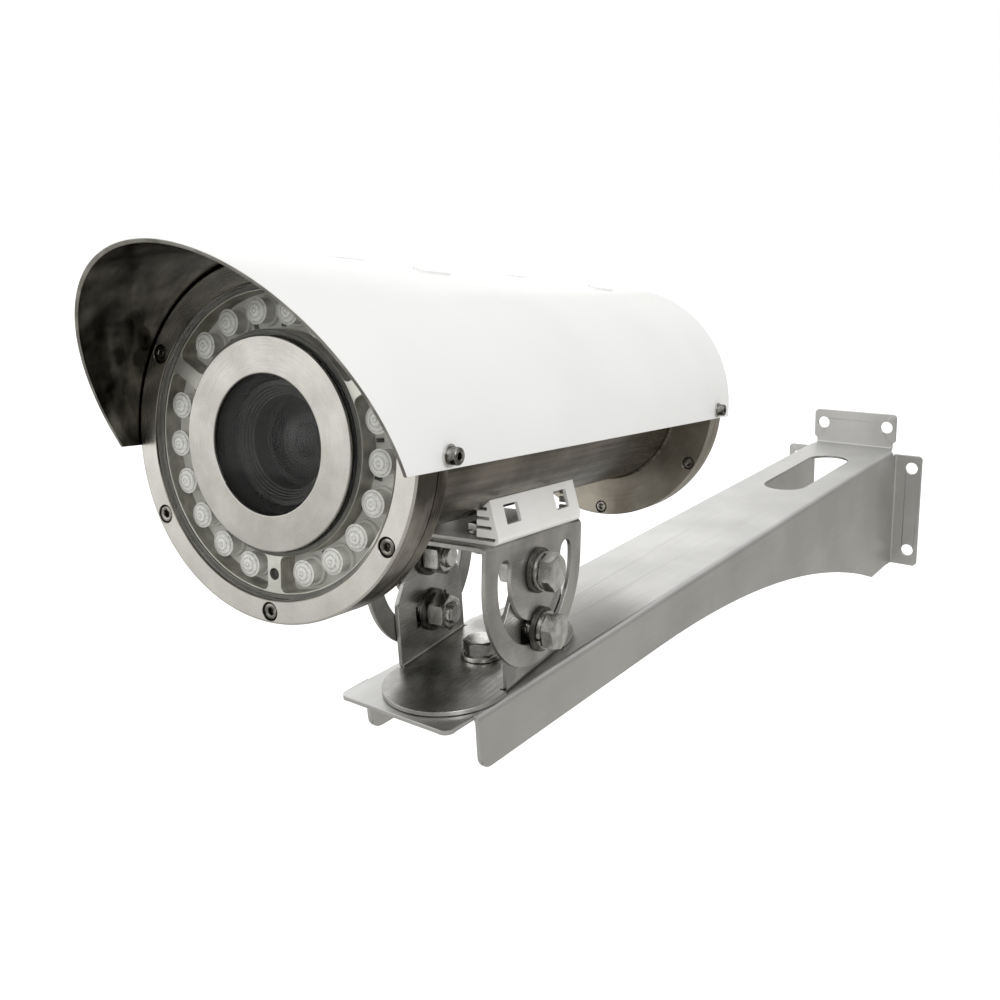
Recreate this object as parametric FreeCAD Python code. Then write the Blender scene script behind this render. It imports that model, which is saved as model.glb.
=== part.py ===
import FreeCAD, Part
import math
import os

# Security camera housing on a folded wall arm, in millimetres.
# World frame: +Z up, the wall is the plane y = 0, the arm runs out along -Y.
# The origin is the centre of the four wall bolts.

V = FreeCAD.Vector
X_AXIS = V(1, 0, 0)
Y_AXIS = V(0, 1, 0)
Z_AXIS = V(0, 0, 1)

# Folded sheet
SHEET = 2.5
BEND_IN = 1.5
BEND_OUT = BEND_IN + SHEET

# Clearances
GAP = 0.3
RUN = 0.1

# M12 hardware of the wall, the pan bolt and the tilt bolts
M12 = 12.0
M12_FLATS = 18.0
M12_HEAD = 7.5
M12_NUT = 10.8
M12_WASHER_D = 24.0
M12_WASHER_T = 2.5
M12_LOCK_D = 20.5
M12_LOCK_T = 2.5
WALL_HOLE_D = 11.0

# Wall arm
ARM_TOP = 57.0
ARM_W = 80.0
ARM_SIDE_FRONT = -616.5
TONGUE_FRONT = -637.0
TONGUE_W = 75.0
TONGUE_R = 5.0
SIDE_H = 31.0
SIDE_NOSE_R = 8.0
SWEEP_START = -440.0
SWEEP_R = 980.0
SIDE_WALL_H = 111.0
SWEEP_END = -51.0
FLANGE_OUT_X = 64.0
FLANGE_TOP = -5.0
FLANGE_BOTTOM = -112.0
FLANGE_CORNER_R = 4.0
TOP_FLANGE_H = 32.0
TOP_FLANGE_W = 77.5
FOLD_RUN = 10.0
WALL_BOLT_X = 110.0
WALL_BOLT_Z = 80.0
TOP_BOLT_X = 60.0
TOP_BOLT_UP = 19.5
CABLE_SLOT_L = 127.0
CABLE_SLOT_W = 35.0
CABLE_SLOT_Y = -113.0

# Joint axes and the pose of the photograph
PAN_Y = -564.0
PIVOT_UP = 58.0
PAN_REST = 7.7
TILT_REST = 8.0

# Swivel bracket, heights above the arm top
BASE_BOTTOM = GAP
BASE_TOP = BASE_BOTTOM + SHEET
EAR_OUT_X = 34.2
EAR_IN_X = EAR_OUT_X - SHEET
EAR_HALF = 31.0
EAR_SHOULDER = 38.0
EAR_SHOULDER_R = 8.0
EAR_TOP_R = 14.0
BASE_END_Y = 35.5
RELIEF = 1.2
CLAMP_R = 33.0
WINDOW_HALF = 15.0

# Tilt yoke, heights above the pivot
YOKE_IN_X = EAR_OUT_X + GAP
YOKE_OUT_X = YOKE_IN_X + SHEET
YOKE_HALF = 51.0
YOKE_TOP = 19.9
SLOT_W = M12 + 2 * GAP
SLOT_SWING = 98.0

# Cradle channel under the tube
CRADLE_T = 2.0
CRADLE_X = 41.0
CRADLE_HALF = 44.0
CRADLE_LEAN = 8.0 / 26.0
CRADLE_BEND = 1.4
CRADLE_TOP = YOKE_TOP + 28.0
PORT_Y = 26.0
PORT_HALF = 7.0
PORT_LOW = 9.1
PORT_H = 9.5
LIP_IN_X = 27.0
LIP_SLIT = 1.5
M6 = 6.0
M6_FLATS = 10.0
M6_HEAD = 4.0
M6_NUT = 5.0
CRADLE_BOLT_X = 19.0
CRADLE_BOLT_Y = 28.0

# Housing, axis height above the pivot and face distance in front of it, radii outwards from the tube
FACE_Y = -158.4
TUBE_R = 48.0
TUBE_T = 2.5
TUBE_CLEAR = 8.1
AXIS_UP = YOKE_TOP + TUBE_CLEAR + TUBE_R
BORE_R = TUBE_R - TUBE_T
RING_OUT_R = BORE_R - 2.6
LAMP_R = RING_OUT_R + 10.0
SHELF_R = LAMP_R + 8.1
SEAL_R = SHELF_R + 2.0
FLANGE_R = SEAL_R + 9.8
FACE_SCREW_R = FLANGE_R - 4.8
BEZEL_T = 13.6
SEAM = 0.8
FRONT_RING_Y = BEZEL_T + SEAM
FRONT_RING_END = 20.8
REAR_RING_Y = 314.0
REAR_RING_END = 322.0
COVER_Y = REAR_RING_END + SEAM
COVER_END = 331.8
M4 = 4.0
M4_HEAD_D = 7.0
M4_HEAD = 4.0
M4_KEY = 3.0
M4_SINK_D = 7.8
M4_SINK = 4.4

# Window and lamp ring
WINDOW_R = SEAL_R - 0.4
GLASS_Y = 0.5
GLASS_T = 2.5
GLASS_BACK = GLASS_Y + GLASS_T
SEAL_T = 0.6
RING_IN_R = 28.2
RING_T = 1.2
LAMP_PITCH = 17.6
LAMPS_PER_POCKET = 6
POCKET_MID = (-30.0, 90.0, 210.0)
SPOKES = (-90.0, 30.0, 150.0)
POCKET_HALF = 7.4
POCKET_CORNER = 2.5
SPOKE_W = 7.2
FRAME_Y = GLASS_BACK + SEAL_T
BOARD_T = 1.6
BOARD_Y = BEZEL_T - BOARD_T
LENS_R = 5.4
LENS_TOP = FRAME_Y - 0.3
LENS_RIM = LENS_TOP + 1.5
LENS_BASE = LENS_RIM + 0.6
LAMP_NECK_R = 4.9
HOLDER_R = 6.1
HOLDER_FOOT = 1.5
SENSOR_R = 2.2
SHROUD_T = 2.0
SHROUD_END = 28.0

# Camera inside
LENS_NOSE_Y = 9.5
LENS_NOSE_R = 25.5
LENS_WAIST_R = 23.0
LENS_GRIP_R = 24.5
LENS_FOOT_R = 21.0
LENS_STEP = 11.5
ELEMENT_R = 19.0
ELEMENT_SINK = 5.0
CAMERA_Y = 58.0
CAMERA_L = 70.0
CAMERA_HALF = 27.0
CAMERA_RIB = 3.0
RIB_PITCH = 12.0
TRAY_TOP = 12.5 - BORE_R
TRAY_T = 2.0
BOARD_FRONT = 150.0
BOARD_REAR = 250.0
BOARD_HALF = 26.0
POST_H = 6.0
POST_R = 3.0
COIL_L = 28.0
COIL_H = 22.0
TERMINAL_W = 44.0
TERMINAL_L = 12.0
CAPACITOR_R = 5.0
CAPACITOR_H = 18.0

# Sunshield
SHIELD_IN_R = FLANGE_R + 0.5
SHIELD_T = 1.4
SHIELD_OUT_R = SHIELD_IN_R + SHIELD_T
SHIELD_DROP = 4.2
SHIELD_TIP = -58.8
SHIELD_CORNER = -9.05
SHIELD_REAR = 340.7
SHIELD_SCREW_Y = (17.6, 318.0)
PLUG_L = 22.0
PLUG_W = 7.0
PLUG_SPOTS = ((0, 48), (0, 190), (16, 84), (16, 258), (-16, 84), (-16, 258))

# Cable glands in the rear cover
GLAND_X = 20.0
GLAND_Z = -18.0
GLAND_D = 20.0
GLAND_FLATS = 24.0


# Basic solids

def box(x0, x1, y0, y1, z0, z1):
    """Box between two corners."""
    return Part.makeBox(x1 - x0, y1 - y0, z1 - z0, V(x0, y0, z0))


def rod(axis, radius, start, end, a=0.0, b=0.0):
    """Cylinder along an axis; a and b are its other two coordinates in x, y, z order."""
    origin = {"x": V(start, a, b), "y": V(a, start, b), "z": V(a, b, start)}[axis]
    direction = {"x": X_AXIS, "y": Y_AXIS, "z": Z_AXIS}[axis]
    return Part.makeCylinder(radius, end - start, origin, direction)


def ring(outer, inner, y0, y1):
    """Flat ring about the housing axis."""
    return rod("y", outer, y0, y1).cut(rod("y", inner, y0 - 1, y1 + 1))


def turned(points):
    """Solid turned about the housing axis from (radius, y) points."""
    corners = [V(r, y, 0) for r, y in points]
    face = Part.Face(Part.makePolygon(corners + corners[:1]))
    return face.revolve(V(0, 0, 0), Y_AXIS, 360)


def prism(points, direction):
    """Extrude a closed polygon of vectors."""
    return Part.Face(Part.makePolygon(points + points[:1])).extrude(direction)


def soften(shape, radius, wanted):
    """Fillet the edges whose middle point passes the test."""
    edges = [e for e in shape.Edges if wanted(e.CenterOfMass, e)]
    return shape.makeFillet(radius, edges)


def runs_along(edge, axis, length):
    """True for a straight edge along an axis that is at least this long."""
    ends = edge.Vertexes
    if len(ends) < 2:
        return False
    span = ends[1].Point.sub(ends[0].Point)
    return abs(span.dot(axis)) > length and span.cross(axis).Length < 1e-6


def oblong(length, width, height):
    """Plate with round ends, long along X, standing on z = 0."""
    half = length / 2 - width / 2
    body = box(-half, half, -width / 2, width / 2, 0, height)
    ends = [rod("z", width / 2, 0, height, x, 0) for x in (-half, half)]
    return body.multiFuse(ends).removeSplitter()


def placed(shape, point, direction, spin=0.0):
    """Copy of a shape with its local +Z aimed along a direction at a point."""
    turn = FreeCAD.Rotation(Z_AXIS, direction)
    turn = turn.multiply(FreeCAD.Rotation(Z_AXIS, spin))
    out = shape.copy()
    out.Placement = FreeCAD.Placement(point, turn).multiply(out.Placement)
    return out


def group(shapes):
    """Several separate solids as one node."""
    return Part.makeCompound(shapes)


# Fasteners, built with the head above z = 0 and the shank below it

def hex_prism(flats, height, z0=0.0):
    """Six-sided bar standing on z0."""
    radius = flats / math.sqrt(3)
    corners = [V(radius * math.cos(math.radians(60 * k)), radius * math.sin(math.radians(60 * k)), z0)
               for k in range(6)]
    return prism(corners, V(0, 0, height))


def chamfered_hex(flats, height):
    """Hexagon with its outer corners turned off at the top."""
    slope = flats / math.sqrt(3)
    bar = hex_prism(flats, height)
    cone = Part.makeCone(slope + height * 1.2, slope - 1.2, height + 0.0)
    return bar.common(cone)


def hex_bolt(diameter, flats, head, length):
    """Hexagon head bolt."""
    bolt = chamfered_hex(flats, head).fuse(rod("z", diameter / 2, -length, 0))
    return bolt


def hex_nut(diameter, flats, height):
    """Plain hexagon nut with its bearing face on z = 0."""
    return chamfered_hex(flats, height).cut(rod("z", diameter / 2, -1, height + 1))


def washer(outer, inner, thick):
    """Flat washer standing on z = 0."""
    return rod("z", outer / 2, 0, thick).cut(rod("z", inner / 2, -1, thick + 1))


def cap_screw(diameter, head_d, head, key, length):
    """Socket cap screw."""
    body = rod("z", head_d / 2, 0, head).fuse(rod("z", diameter / 2, -length, 0))
    return body.cut(hex_prism(key, head, head * 0.45))


# Wall arm, heights measured from the arm top

def side_outline():
    """Plate that both arm sides share, as a solid wider than the arm."""
    x0 = -ARM_W
    nose = SIDE_NOSE_R * (1 - math.cos(math.radians(45)))
    front = V(x0, ARM_SIDE_FRONT, 10)
    nose_top = V(x0, ARM_SIDE_FRONT, -SIDE_H + SIDE_NOSE_R)
    nose_mid = V(x0, ARM_SIDE_FRONT + nose, -SIDE_H + nose)
    nose_end = V(x0, ARM_SIDE_FRONT + SIDE_NOSE_R, -SIDE_H)
    sweep = V(x0, SWEEP_START, -SIDE_H)
    half_run = (SWEEP_END - SWEEP_START) / 2
    half_drop = SWEEP_R - math.sqrt(SWEEP_R ** 2 - half_run ** 2)
    drop = SWEEP_R - math.sqrt(SWEEP_R ** 2 - 4 * half_run ** 2)
    sweep_mid = V(x0, SWEEP_START + half_run, -SIDE_H - half_drop)
    sweep_end = V(x0, SWEEP_END, -SIDE_H - drop)
    heel = V(x0, 0, -SIDE_WALL_H)
    back = V(x0, 0, 10)
    edges = [
        Part.makeLine(front, nose_top),
        Part.Arc(nose_top, nose_mid, nose_end).toShape(),
        Part.makeLine(nose_end, sweep),
        Part.Arc(sweep, sweep_mid, sweep_end).toShape(),
        Part.makeLine(sweep_end, heel),
        Part.makeLine(heel, back),
        Part.makeLine(back, front),
    ]
    return Part.Face(Part.Wire(edges)).extrude(V(2 * ARM_W, 0, 0))


def arm_channel():
    """Long inverted channel with rounded folds and the swept lower edges."""
    w = ARM_W / 2
    low = -SIDE_WALL_H - 20
    points = [V(-w, 0, low), V(-w, 0, 0), V(w, 0, 0), V(w, 0, low), V(w - SHEET, 0, low),
              V(w - SHEET, 0, -SHEET), V(SHEET - w, 0, -SHEET), V(SHEET - w, 0, low)]
    y0 = ARM_SIDE_FRONT
    bar = prism([p.add(V(0, y0, 0)) for p in points], V(0, -FOLD_RUN - y0, 0))
    bar = soften(bar, BEND_OUT, lambda m, e: runs_along(e, Y_AXIS, 100) and m.z > -0.01)
    bar = soften(bar, BEND_IN, lambda m, e: runs_along(e, Y_AXIS, 100) and abs(m.z + SHEET) < 0.01
                 and abs(abs(m.x) - w + SHEET) < 0.01)
    return bar.common(side_outline())


def side_flange(side):
    """Flange folded outward against the wall, with its two bolt holes."""
    w = ARM_W / 2
    points = [V(w, -FOLD_RUN, 0), V(w, -SHEET, 0), V(FLANGE_OUT_X, -SHEET, 0), V(FLANGE_OUT_X, 0, 0),
              V(w - SHEET, 0, 0), V(w - SHEET, -FOLD_RUN, 0)]
    points = [p.add(V(0, 0, FLANGE_BOTTOM)) for p in points]
    plate = prism(points, V(0, 0, FLANGE_TOP - FLANGE_BOTTOM))
    plate = soften(plate, BEND_IN, lambda m, e: runs_along(e, Z_AXIS, 50) and abs(m.x - w) < 0.01
                   and abs(m.y + SHEET) < 0.01)
    plate = soften(plate, BEND_OUT, lambda m, e: runs_along(e, Z_AXIS, 50)
                   and abs(m.x - w + SHEET) < 0.01 and abs(m.y) < 0.01)
    plate = soften(plate, FLANGE_CORNER_R, lambda m, e: runs_along(e, Y_AXIS, 1)
                   and abs(m.x - FLANGE_OUT_X) < 0.01)
    middle = ARM_TOP * -1
    for z in (middle - WALL_BOLT_Z / 2, middle + WALL_BOLT_Z / 2):
        plate = plate.cut(rod("y", WALL_HOLE_D / 2, -20, 20, WALL_BOLT_X / 2, z))
    if side < 0:
        plate = plate.mirror(V(0, 0, 0), X_AXIS)
    return plate


def top_flange():
    """Flange folded upward from the arm top, with its two bolt holes."""
    half = TOP_FLANGE_W / 2
    points = [V(-half, -FOLD_RUN, -SHEET), V(-half, 0, -SHEET), V(-half, 0, TOP_FLANGE_H),
              V(-half, -SHEET, TOP_FLANGE_H), V(-half, -SHEET, 0), V(-half, -FOLD_RUN, 0)]
    plate = prism(points, V(2 * half, 0, 0))
    plate = soften(plate, BEND_IN, lambda m, e: runs_along(e, X_AXIS, 50) and abs(m.z) < 0.01
                   and abs(m.y + SHEET) < 0.01)
    plate = soften(plate, BEND_OUT, lambda m, e: runs_along(e, X_AXIS, 50)
                   and abs(m.z + SHEET) < 0.01 and abs(m.y) < 0.01)
    plate = soften(plate, FLANGE_CORNER_R, lambda m, e: runs_along(e, Y_AXIS, 1)
                   and abs(m.z - TOP_FLANGE_H) < 0.01)
    flat = ARM_W / 2 - BEND_OUT
    reach = half + 1 - flat
    relief = prism([V(flat, 1, -SHEET - 1), V(flat, 1, BEND_OUT), V(flat + reach, 1, BEND_OUT + reach),
                    V(flat + reach, 1, -SHEET - 1)], V(0, -FOLD_RUN - 2, 0))
    plate = plate.cut(relief).cut(relief.mirror(V(0, 0, 0), X_AXIS))
    for x in (-TOP_BOLT_X / 2, TOP_BOLT_X / 2):
        plate = plate.cut(rod("y", WALL_HOLE_D / 2, -20, 20, x, TOP_BOLT_UP))
    return plate


def wall_arm():
    """One folded sheet: channel, front tongue and three wall flanges."""
    half = TONGUE_W / 2
    tongue = box(-half, half, TONGUE_FRONT, ARM_SIDE_FRONT + 1, -SHEET, 0)
    tongue = soften(tongue, TONGUE_R, lambda m, e: runs_along(e, Z_AXIS, 1) and m.y < TONGUE_FRONT + 1)
    arm = arm_channel().multiFuse([tongue, top_flange(), side_flange(1), side_flange(-1)])
    slot = placed(oblong(CABLE_SLOT_L, CABLE_SLOT_W, 20), V(0, CABLE_SLOT_Y, -10), Z_AXIS, 90)
    arm = arm.cut(slot).cut(rod("z", M12 / 2 + RUN / 2, -20, 20, 0, PAN_Y))
    return arm.removeSplitter()


def pan_fasteners():
    """Centre bolt of the pan joint with its washers and nut."""
    seat = BASE_TOP + GAP + M12_WASHER_T
    top = placed(washer(M12_WASHER_D, M12 + RUN, M12_WASHER_T), V(0, PAN_Y, BASE_TOP + GAP), Z_AXIS)
    low = placed(washer(M12_WASHER_D, M12 + RUN, M12_WASHER_T), V(0, PAN_Y, -SHEET - M12_WASHER_T), Z_AXIS)
    length = seat + SHEET + M12_WASHER_T + M12_NUT + 3
    bolt = placed(hex_bolt(M12, M12_FLATS, M12_HEAD, length), V(0, PAN_Y, seat), Z_AXIS)
    nut = placed(hex_nut(M12, M12_FLATS, M12_NUT), V(0, PAN_Y, -SHEET - M12_WASHER_T), V(0, 0, -1))
    return bolt, nut, group([top, low])


# Swivel bracket, about the pan axis, heights measured from the arm top

def ear_outline():
    """Ear shape as a solid: straight flanks, sloped shoulders and a round top about the pivot."""
    x0 = -2 * EAR_OUT_X
    dy = EAR_HALF
    dz = EAR_SHOULDER - PIVOT_UP
    reach = math.hypot(dy, dz)
    lean = math.atan2(dz, dy) + math.acos(EAR_TOP_R / reach)
    ty = EAR_TOP_R * math.cos(lean)
    tz = PIVOT_UP + EAR_TOP_R * math.sin(lean)
    flanks = [V(x0, -dy, -5), V(x0, dy, -5), V(x0, dy, EAR_SHOULDER), V(x0, ty, tz),
              V(x0, -ty, tz), V(x0, -dy, EAR_SHOULDER)]
    plate = prism(flanks, V(-2 * x0, 0, 0))
    plate = soften(plate, EAR_SHOULDER_R, lambda m, e: runs_along(e, X_AXIS, 50)
                   and abs(m.z - EAR_SHOULDER) < 0.01)
    return plate.fuse(rod("x", EAR_TOP_R, x0, -x0, 0, PIVOT_UP))


def swivel_bracket():
    """Round-ended base plate with two ears folded up from its long sides."""
    w = EAR_OUT_X
    high = PIVOT_UP + EAR_TOP_R + 5
    points = [V(-w, 0, high), V(-w, 0, BASE_BOTTOM), V(w, 0, BASE_BOTTOM), V(w, 0, high),
              V(w - SHEET, 0, high), V(w - SHEET, 0, BASE_TOP), V(SHEET - w, 0, BASE_TOP), V(SHEET - w, 0, high)]
    ears = prism([p.add(V(0, -EAR_HALF, 0)) for p in points], V(0, 2 * EAR_HALF, 0))
    ears = soften(ears, BEND_OUT, lambda m, e: runs_along(e, Y_AXIS, 50) and abs(m.z - BASE_BOTTOM) < 0.01)
    ears = soften(ears, BEND_IN, lambda m, e: runs_along(e, Y_AXIS, 50) and abs(m.z - BASE_TOP) < 0.01
                  and abs(abs(m.x) - w + SHEET) < 0.01)
    ears = ears.common(ear_outline())
    base = placed(oblong(2 * (BASE_END_Y + w), 2 * w, SHEET), V(0, 0, BASE_BOTTOM), Z_AXIS, 90)
    notch = EAR_HALF + RELIEF
    for x0, x1 in ((-w - 1, BEND_OUT - w), (w - BEND_OUT, w + 1)):
        base = base.cut(box(x0, x1, -notch, notch, -5, 10))
    body = ears.fuse(base)
    body = body.cut(rod("z", M12 / 2 + RUN, -5, 10))
    body = body.cut(rod("x", M12 / 2 + RUN / 2, -w - 1, w + 1, 0, PIVOT_UP))
    low = PIVOT_UP - CLAMP_R
    body = body.cut(box(-w - 1, w + 1, -WINDOW_HALF, WINDOW_HALF, low - SLOT_W / 2, low + SLOT_W / 2))
    return body.removeSplitter()


def tilt_fasteners():
    """Bolts, nuts, plain washers and lock washers of both pivots and both clamp slots."""
    bolts, nuts, plain, lock = [], [], [], []
    for side in (-1, 1):
        out = V(side, 0, 0)
        back = V(-side, 0, 0)
        for height in (PIVOT_UP, PIVOT_UP - CLAMP_R):
            face = YOKE_OUT_X + GAP
            plain.append(placed(washer(M12_WASHER_D, M12 + RUN, M12_WASHER_T), V(side * face, 0, height), out))
            face += M12_WASHER_T
            lock.append(placed(washer(M12_LOCK_D, M12 + RUN, M12_LOCK_T), V(side * face, 0, height), out))
            face += M12_LOCK_T
            length = face - EAR_IN_X + M12_WASHER_T + M12_NUT + 3
            spin = 12 if height == PIVOT_UP else 40
            bolts.append(placed(hex_bolt(M12, M12_FLATS, M12_HEAD, length), V(side * face, 0, height), out, spin))
            plain.append(placed(washer(M12_WASHER_D, M12 + RUN, M12_WASHER_T),
                                V(side * EAR_IN_X, 0, height), back))
            nuts.append(placed(hex_nut(M12, M12_FLATS, M12_NUT),
                               V(side * (EAR_IN_X - M12_WASHER_T), 0, height), back, 25))
    return group(bolts), group(nuts), group(plain), group(lock)


# Head pieces about the tilt pivot

def arc_slot():
    """Cutter of the clamp slot, centred on the pivot and open below it."""
    swing = 2 * SLOT_SWING
    outer = Part.makeCylinder(CLAMP_R + SLOT_W / 2, 120, V(0, 0, 0), Z_AXIS, swing)
    inner = Part.makeCylinder(CLAMP_R - SLOT_W / 2, 120, V(0, 0, 0), Z_AXIS)
    band = outer.cut(inner)
    for angle in (0, swing):
        spot = V(CLAMP_R * math.cos(math.radians(angle)), CLAMP_R * math.sin(math.radians(angle)), 0)
        band = band.fuse(Part.makeCylinder(SLOT_W / 2, 120, spot, Z_AXIS))
    band.rotate(V(0, 0, 0), Z_AXIS, -90 - SLOT_SWING)
    band.rotate(V(0, 0, 0), X_AXIS, 90)
    band.rotate(V(0, 0, 0), Z_AXIS, 90)
    band.translate(V(-60, 0, 0))
    return band


def yoke():
    """Inverted channel whose sides end in half discs about the pivot, with the clamp slots."""
    w = YOKE_OUT_X
    low = -YOKE_HALF - 5
    points = [V(-w, 0, low), V(-w, 0, YOKE_TOP), V(w, 0, YOKE_TOP), V(w, 0, low), V(w - SHEET, 0, low),
              V(w - SHEET, 0, YOKE_TOP - SHEET), V(SHEET - w, 0, YOKE_TOP - SHEET), V(SHEET - w, 0, low)]
    bar = prism([p.add(V(0, -YOKE_HALF, 0)) for p in points], V(0, 2 * YOKE_HALF, 0))
    bar = soften(bar, BEND_OUT, lambda m, e: runs_along(e, Y_AXIS, 50) and abs(m.z - YOKE_TOP) < 0.01)
    bar = soften(bar, BEND_IN, lambda m, e: runs_along(e, Y_AXIS, 50)
                 and abs(m.z - YOKE_TOP + SHEET) < 0.01 and abs(abs(m.x) - w + SHEET) < 0.01)
    outline = box(-w - 1, w + 1, -YOKE_HALF, YOKE_HALF, 0, YOKE_TOP + 1)
    outline = outline.fuse(rod("x", YOKE_HALF, -w - 1, w + 1))
    bar = bar.common(outline).cut(arc_slot()).cut(rod("x", M12 / 2 + RUN, -w - 1, w + 1))
    for x in (-CRADLE_BOLT_X, CRADLE_BOLT_X):
        for y in (-CRADLE_BOLT_Y, CRADLE_BOLT_Y):
            bar = bar.cut(rod("z", M6 / 2 + RUN / 2, 0, 40, x, y))
    bar = bar.cut(rod("z", 1.5, 0, 40, 4, 2.5 - YOKE_HALF))
    return bar.removeSplitter()


def wall_x(z):
    """Outer face of the leaning cradle wall at a height."""
    return CRADLE_X - (z - YOKE_TOP) * CRADLE_LEAN


def cradle():
    """Shallow channel with leaning walls welded to the tube, square ports and slitted end lips."""
    skin = CRADLE_T * math.hypot(1, CRADLE_LEAN)
    floor = YOKE_TOP + CRADLE_T
    right = [V(wall_x(YOKE_TOP), 0, YOKE_TOP), V(wall_x(CRADLE_TOP), 0, CRADLE_TOP),
             V(wall_x(CRADLE_TOP) - skin, 0, CRADLE_TOP), V(wall_x(floor) - skin, 0, floor)]
    left = [V(-p.x, 0, p.z) for p in reversed(right)]
    bar = prism([p.add(V(0, -CRADLE_HALF, 0)) for p in right + left], V(0, 2 * CRADLE_HALF, 0))
    bar = soften(bar, CRADLE_BEND + CRADLE_T, lambda m, e: runs_along(e, Y_AXIS, 50)
                 and abs(m.z - YOKE_TOP) < 0.01)
    bar = soften(bar, CRADLE_BEND, lambda m, e: runs_along(e, Y_AXIS, 50) and abs(m.z - floor) < 0.01)
    lips = []
    for y0 in (-CRADLE_HALF, CRADLE_HALF - CRADLE_T):
        for side in (-1, 1):
            z0 = floor + 1.6
            points = [V(side * LIP_IN_X, y0, z0), V(side * (wall_x(z0) - 0.5), y0, z0),
                      V(side * (wall_x(CRADLE_TOP) - 0.5), y0, CRADLE_TOP), V(side * LIP_IN_X, y0, CRADLE_TOP)]
            lip = prism(points, V(0, CRADLE_T, 0))
            for k in range(3):
                z = z0 + 4.2 + 4.6 * k
                inner, outer = sorted((side * (LIP_IN_X - 1), side * (wall_x(z) - CRADLE_T - 1.2)))
                lip = lip.cut(box(inner, outer, y0 - 1, y0 + CRADLE_T + 1, z, z + LIP_SLIT))
            lips.append(lip)
    bar = bar.multiFuse(lips).cut(rod("y", TUBE_R, -80, 80, 0, AXIS_UP))
    inner, outer = wall_x(CRADLE_TOP) - 4 * CRADLE_T, CRADLE_X + 1
    for y in (-PORT_Y, PORT_Y):
        low, high = YOKE_TOP + PORT_LOW, YOKE_TOP + PORT_LOW + PORT_H
        for x0, x1 in ((-outer, -inner), (inner, outer)):
            bar = bar.cut(box(x0, x1, y - PORT_HALF, y + PORT_HALF, low, high))
    for x in (-CRADLE_BOLT_X, CRADLE_BOLT_X):
        for y in (-CRADLE_BOLT_Y, CRADLE_BOLT_Y):
            bar = bar.cut(rod("z", M6 / 2 + RUN / 2, 0, 40, x, y))
    return bar.removeSplitter()


def cradle_fasteners():
    """Four bolts that hold the cradle on the yoke, with washers and nuts."""
    bolts, nuts, washers = [], [], []
    floor = YOKE_TOP + CRADLE_T
    under = YOKE_TOP - SHEET
    for x in (-CRADLE_BOLT_X, CRADLE_BOLT_X):
        for y in (-CRADLE_BOLT_Y, CRADLE_BOLT_Y):
            washers.append(placed(washer(12, M6 + RUN, 1.6), V(x, y, floor), Z_AXIS))
            length = 1.6 + CRADLE_T + SHEET + M6_NUT + 1
            bolts.append(placed(hex_bolt(M6, M6_FLATS, M6_HEAD, length), V(x, y, floor + 1.6), Z_AXIS, 15))
            nuts.append(placed(hex_nut(M6, M6_FLATS, M6_NUT), V(x, y, under), V(0, 0, -1)))
    return group(bolts), group(nuts), group(washers)


# Housing pieces about the tube axis, y measured back from the face

def around(radius, angle, y):
    """Point on a circle about the housing axis."""
    a = math.radians(angle)
    return V(radius * math.cos(a), y, radius * math.sin(a))


def face_angles():
    """Directions of the six face screws."""
    return [-90 + 60 * k for k in range(6)]


def lamp_angles():
    """Directions of the eighteen lamps, six in each pocket."""
    first = -(LAMPS_PER_POCKET - 1) / 2
    return [mid + LAMP_PITCH * (first + k) for mid in POCKET_MID for k in range(LAMPS_PER_POCKET)]


def front_bezel():
    """Clamp ring around the window with six counterbored screws."""
    back = GLASS_BACK + SEAL_T
    body = turned([(SEAL_R, 0.4), (SEAL_R + 0.4, 0), (FLANGE_R - 0.8, 0), (FLANGE_R, 0.8),
                   (FLANGE_R, BEZEL_T - 0.4), (FLANGE_R - 0.4, BEZEL_T), (SHELF_R, BEZEL_T),
                   (SHELF_R, back), (SEAL_R, back)])
    for angle in face_angles():
        spot = around(FACE_SCREW_R, angle, 0)
        body = body.cut(rod("y", M4_SINK_D / 2, -1, M4_SINK, spot.x, spot.z))
        body = body.cut(rod("y", M4 / 2 + RUN / 2, -1, BEZEL_T + 1, spot.x, spot.z))
    return body


def bezel_screws():
    """Six socket cap screws of the bezel."""
    screw = cap_screw(M4, M4_HEAD_D, M4_HEAD, M4_KEY, 14)
    return group([placed(screw, around(FACE_SCREW_R, a, M4_SINK), V(0, -1, 0), 10 * k)
                  for k, a in enumerate(face_angles())])


def front_ring():
    """Welded ring behind the bezel, drilled for the bezel and shield screws."""
    body = turned([(TUBE_R, FRONT_RING_Y), (FLANGE_R - 0.4, FRONT_RING_Y), (FLANGE_R, FRONT_RING_Y + 0.4),
                   (FLANGE_R, FRONT_RING_END - 0.4), (FLANGE_R - 0.4, FRONT_RING_END),
                   (TUBE_R, FRONT_RING_END)])
    for angle in face_angles():
        spot = around(FACE_SCREW_R, angle, 0)
        body = body.cut(rod("y", M4 / 2, FRONT_RING_Y - 1, M4_SINK + 14, spot.x, spot.z))
    low, high = FLANGE_R - 12.8, FLANGE_R + 1
    return body.cut(rod("x", M4 / 2, -high, -low, SHIELD_SCREW_Y[0], 0)).cut(
        rod("x", M4 / 2, low, high, SHIELD_SCREW_Y[0], 0))


def seam_gasket(y0):
    """Flat rubber gasket between two flanges, holed for the six screws."""
    body = ring(FLANGE_R - 1.2, TUBE_R + 2, y0, y0 + SEAM)
    for angle in face_angles():
        spot = around(FACE_SCREW_R, angle, 0)
        body = body.cut(rod("y", M4 / 2 + 0.4, y0 - 1, y0 + SEAM + 1, spot.x, spot.z))
    return body


def housing_tube():
    """Round body tube."""
    return ring(TUBE_R, BORE_R, FRONT_RING_Y, REAR_RING_END)


def window_glass():
    """Toughened window pane."""
    return rod("y", WINDOW_R - RUN, GLASS_Y, GLASS_BACK)


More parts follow.
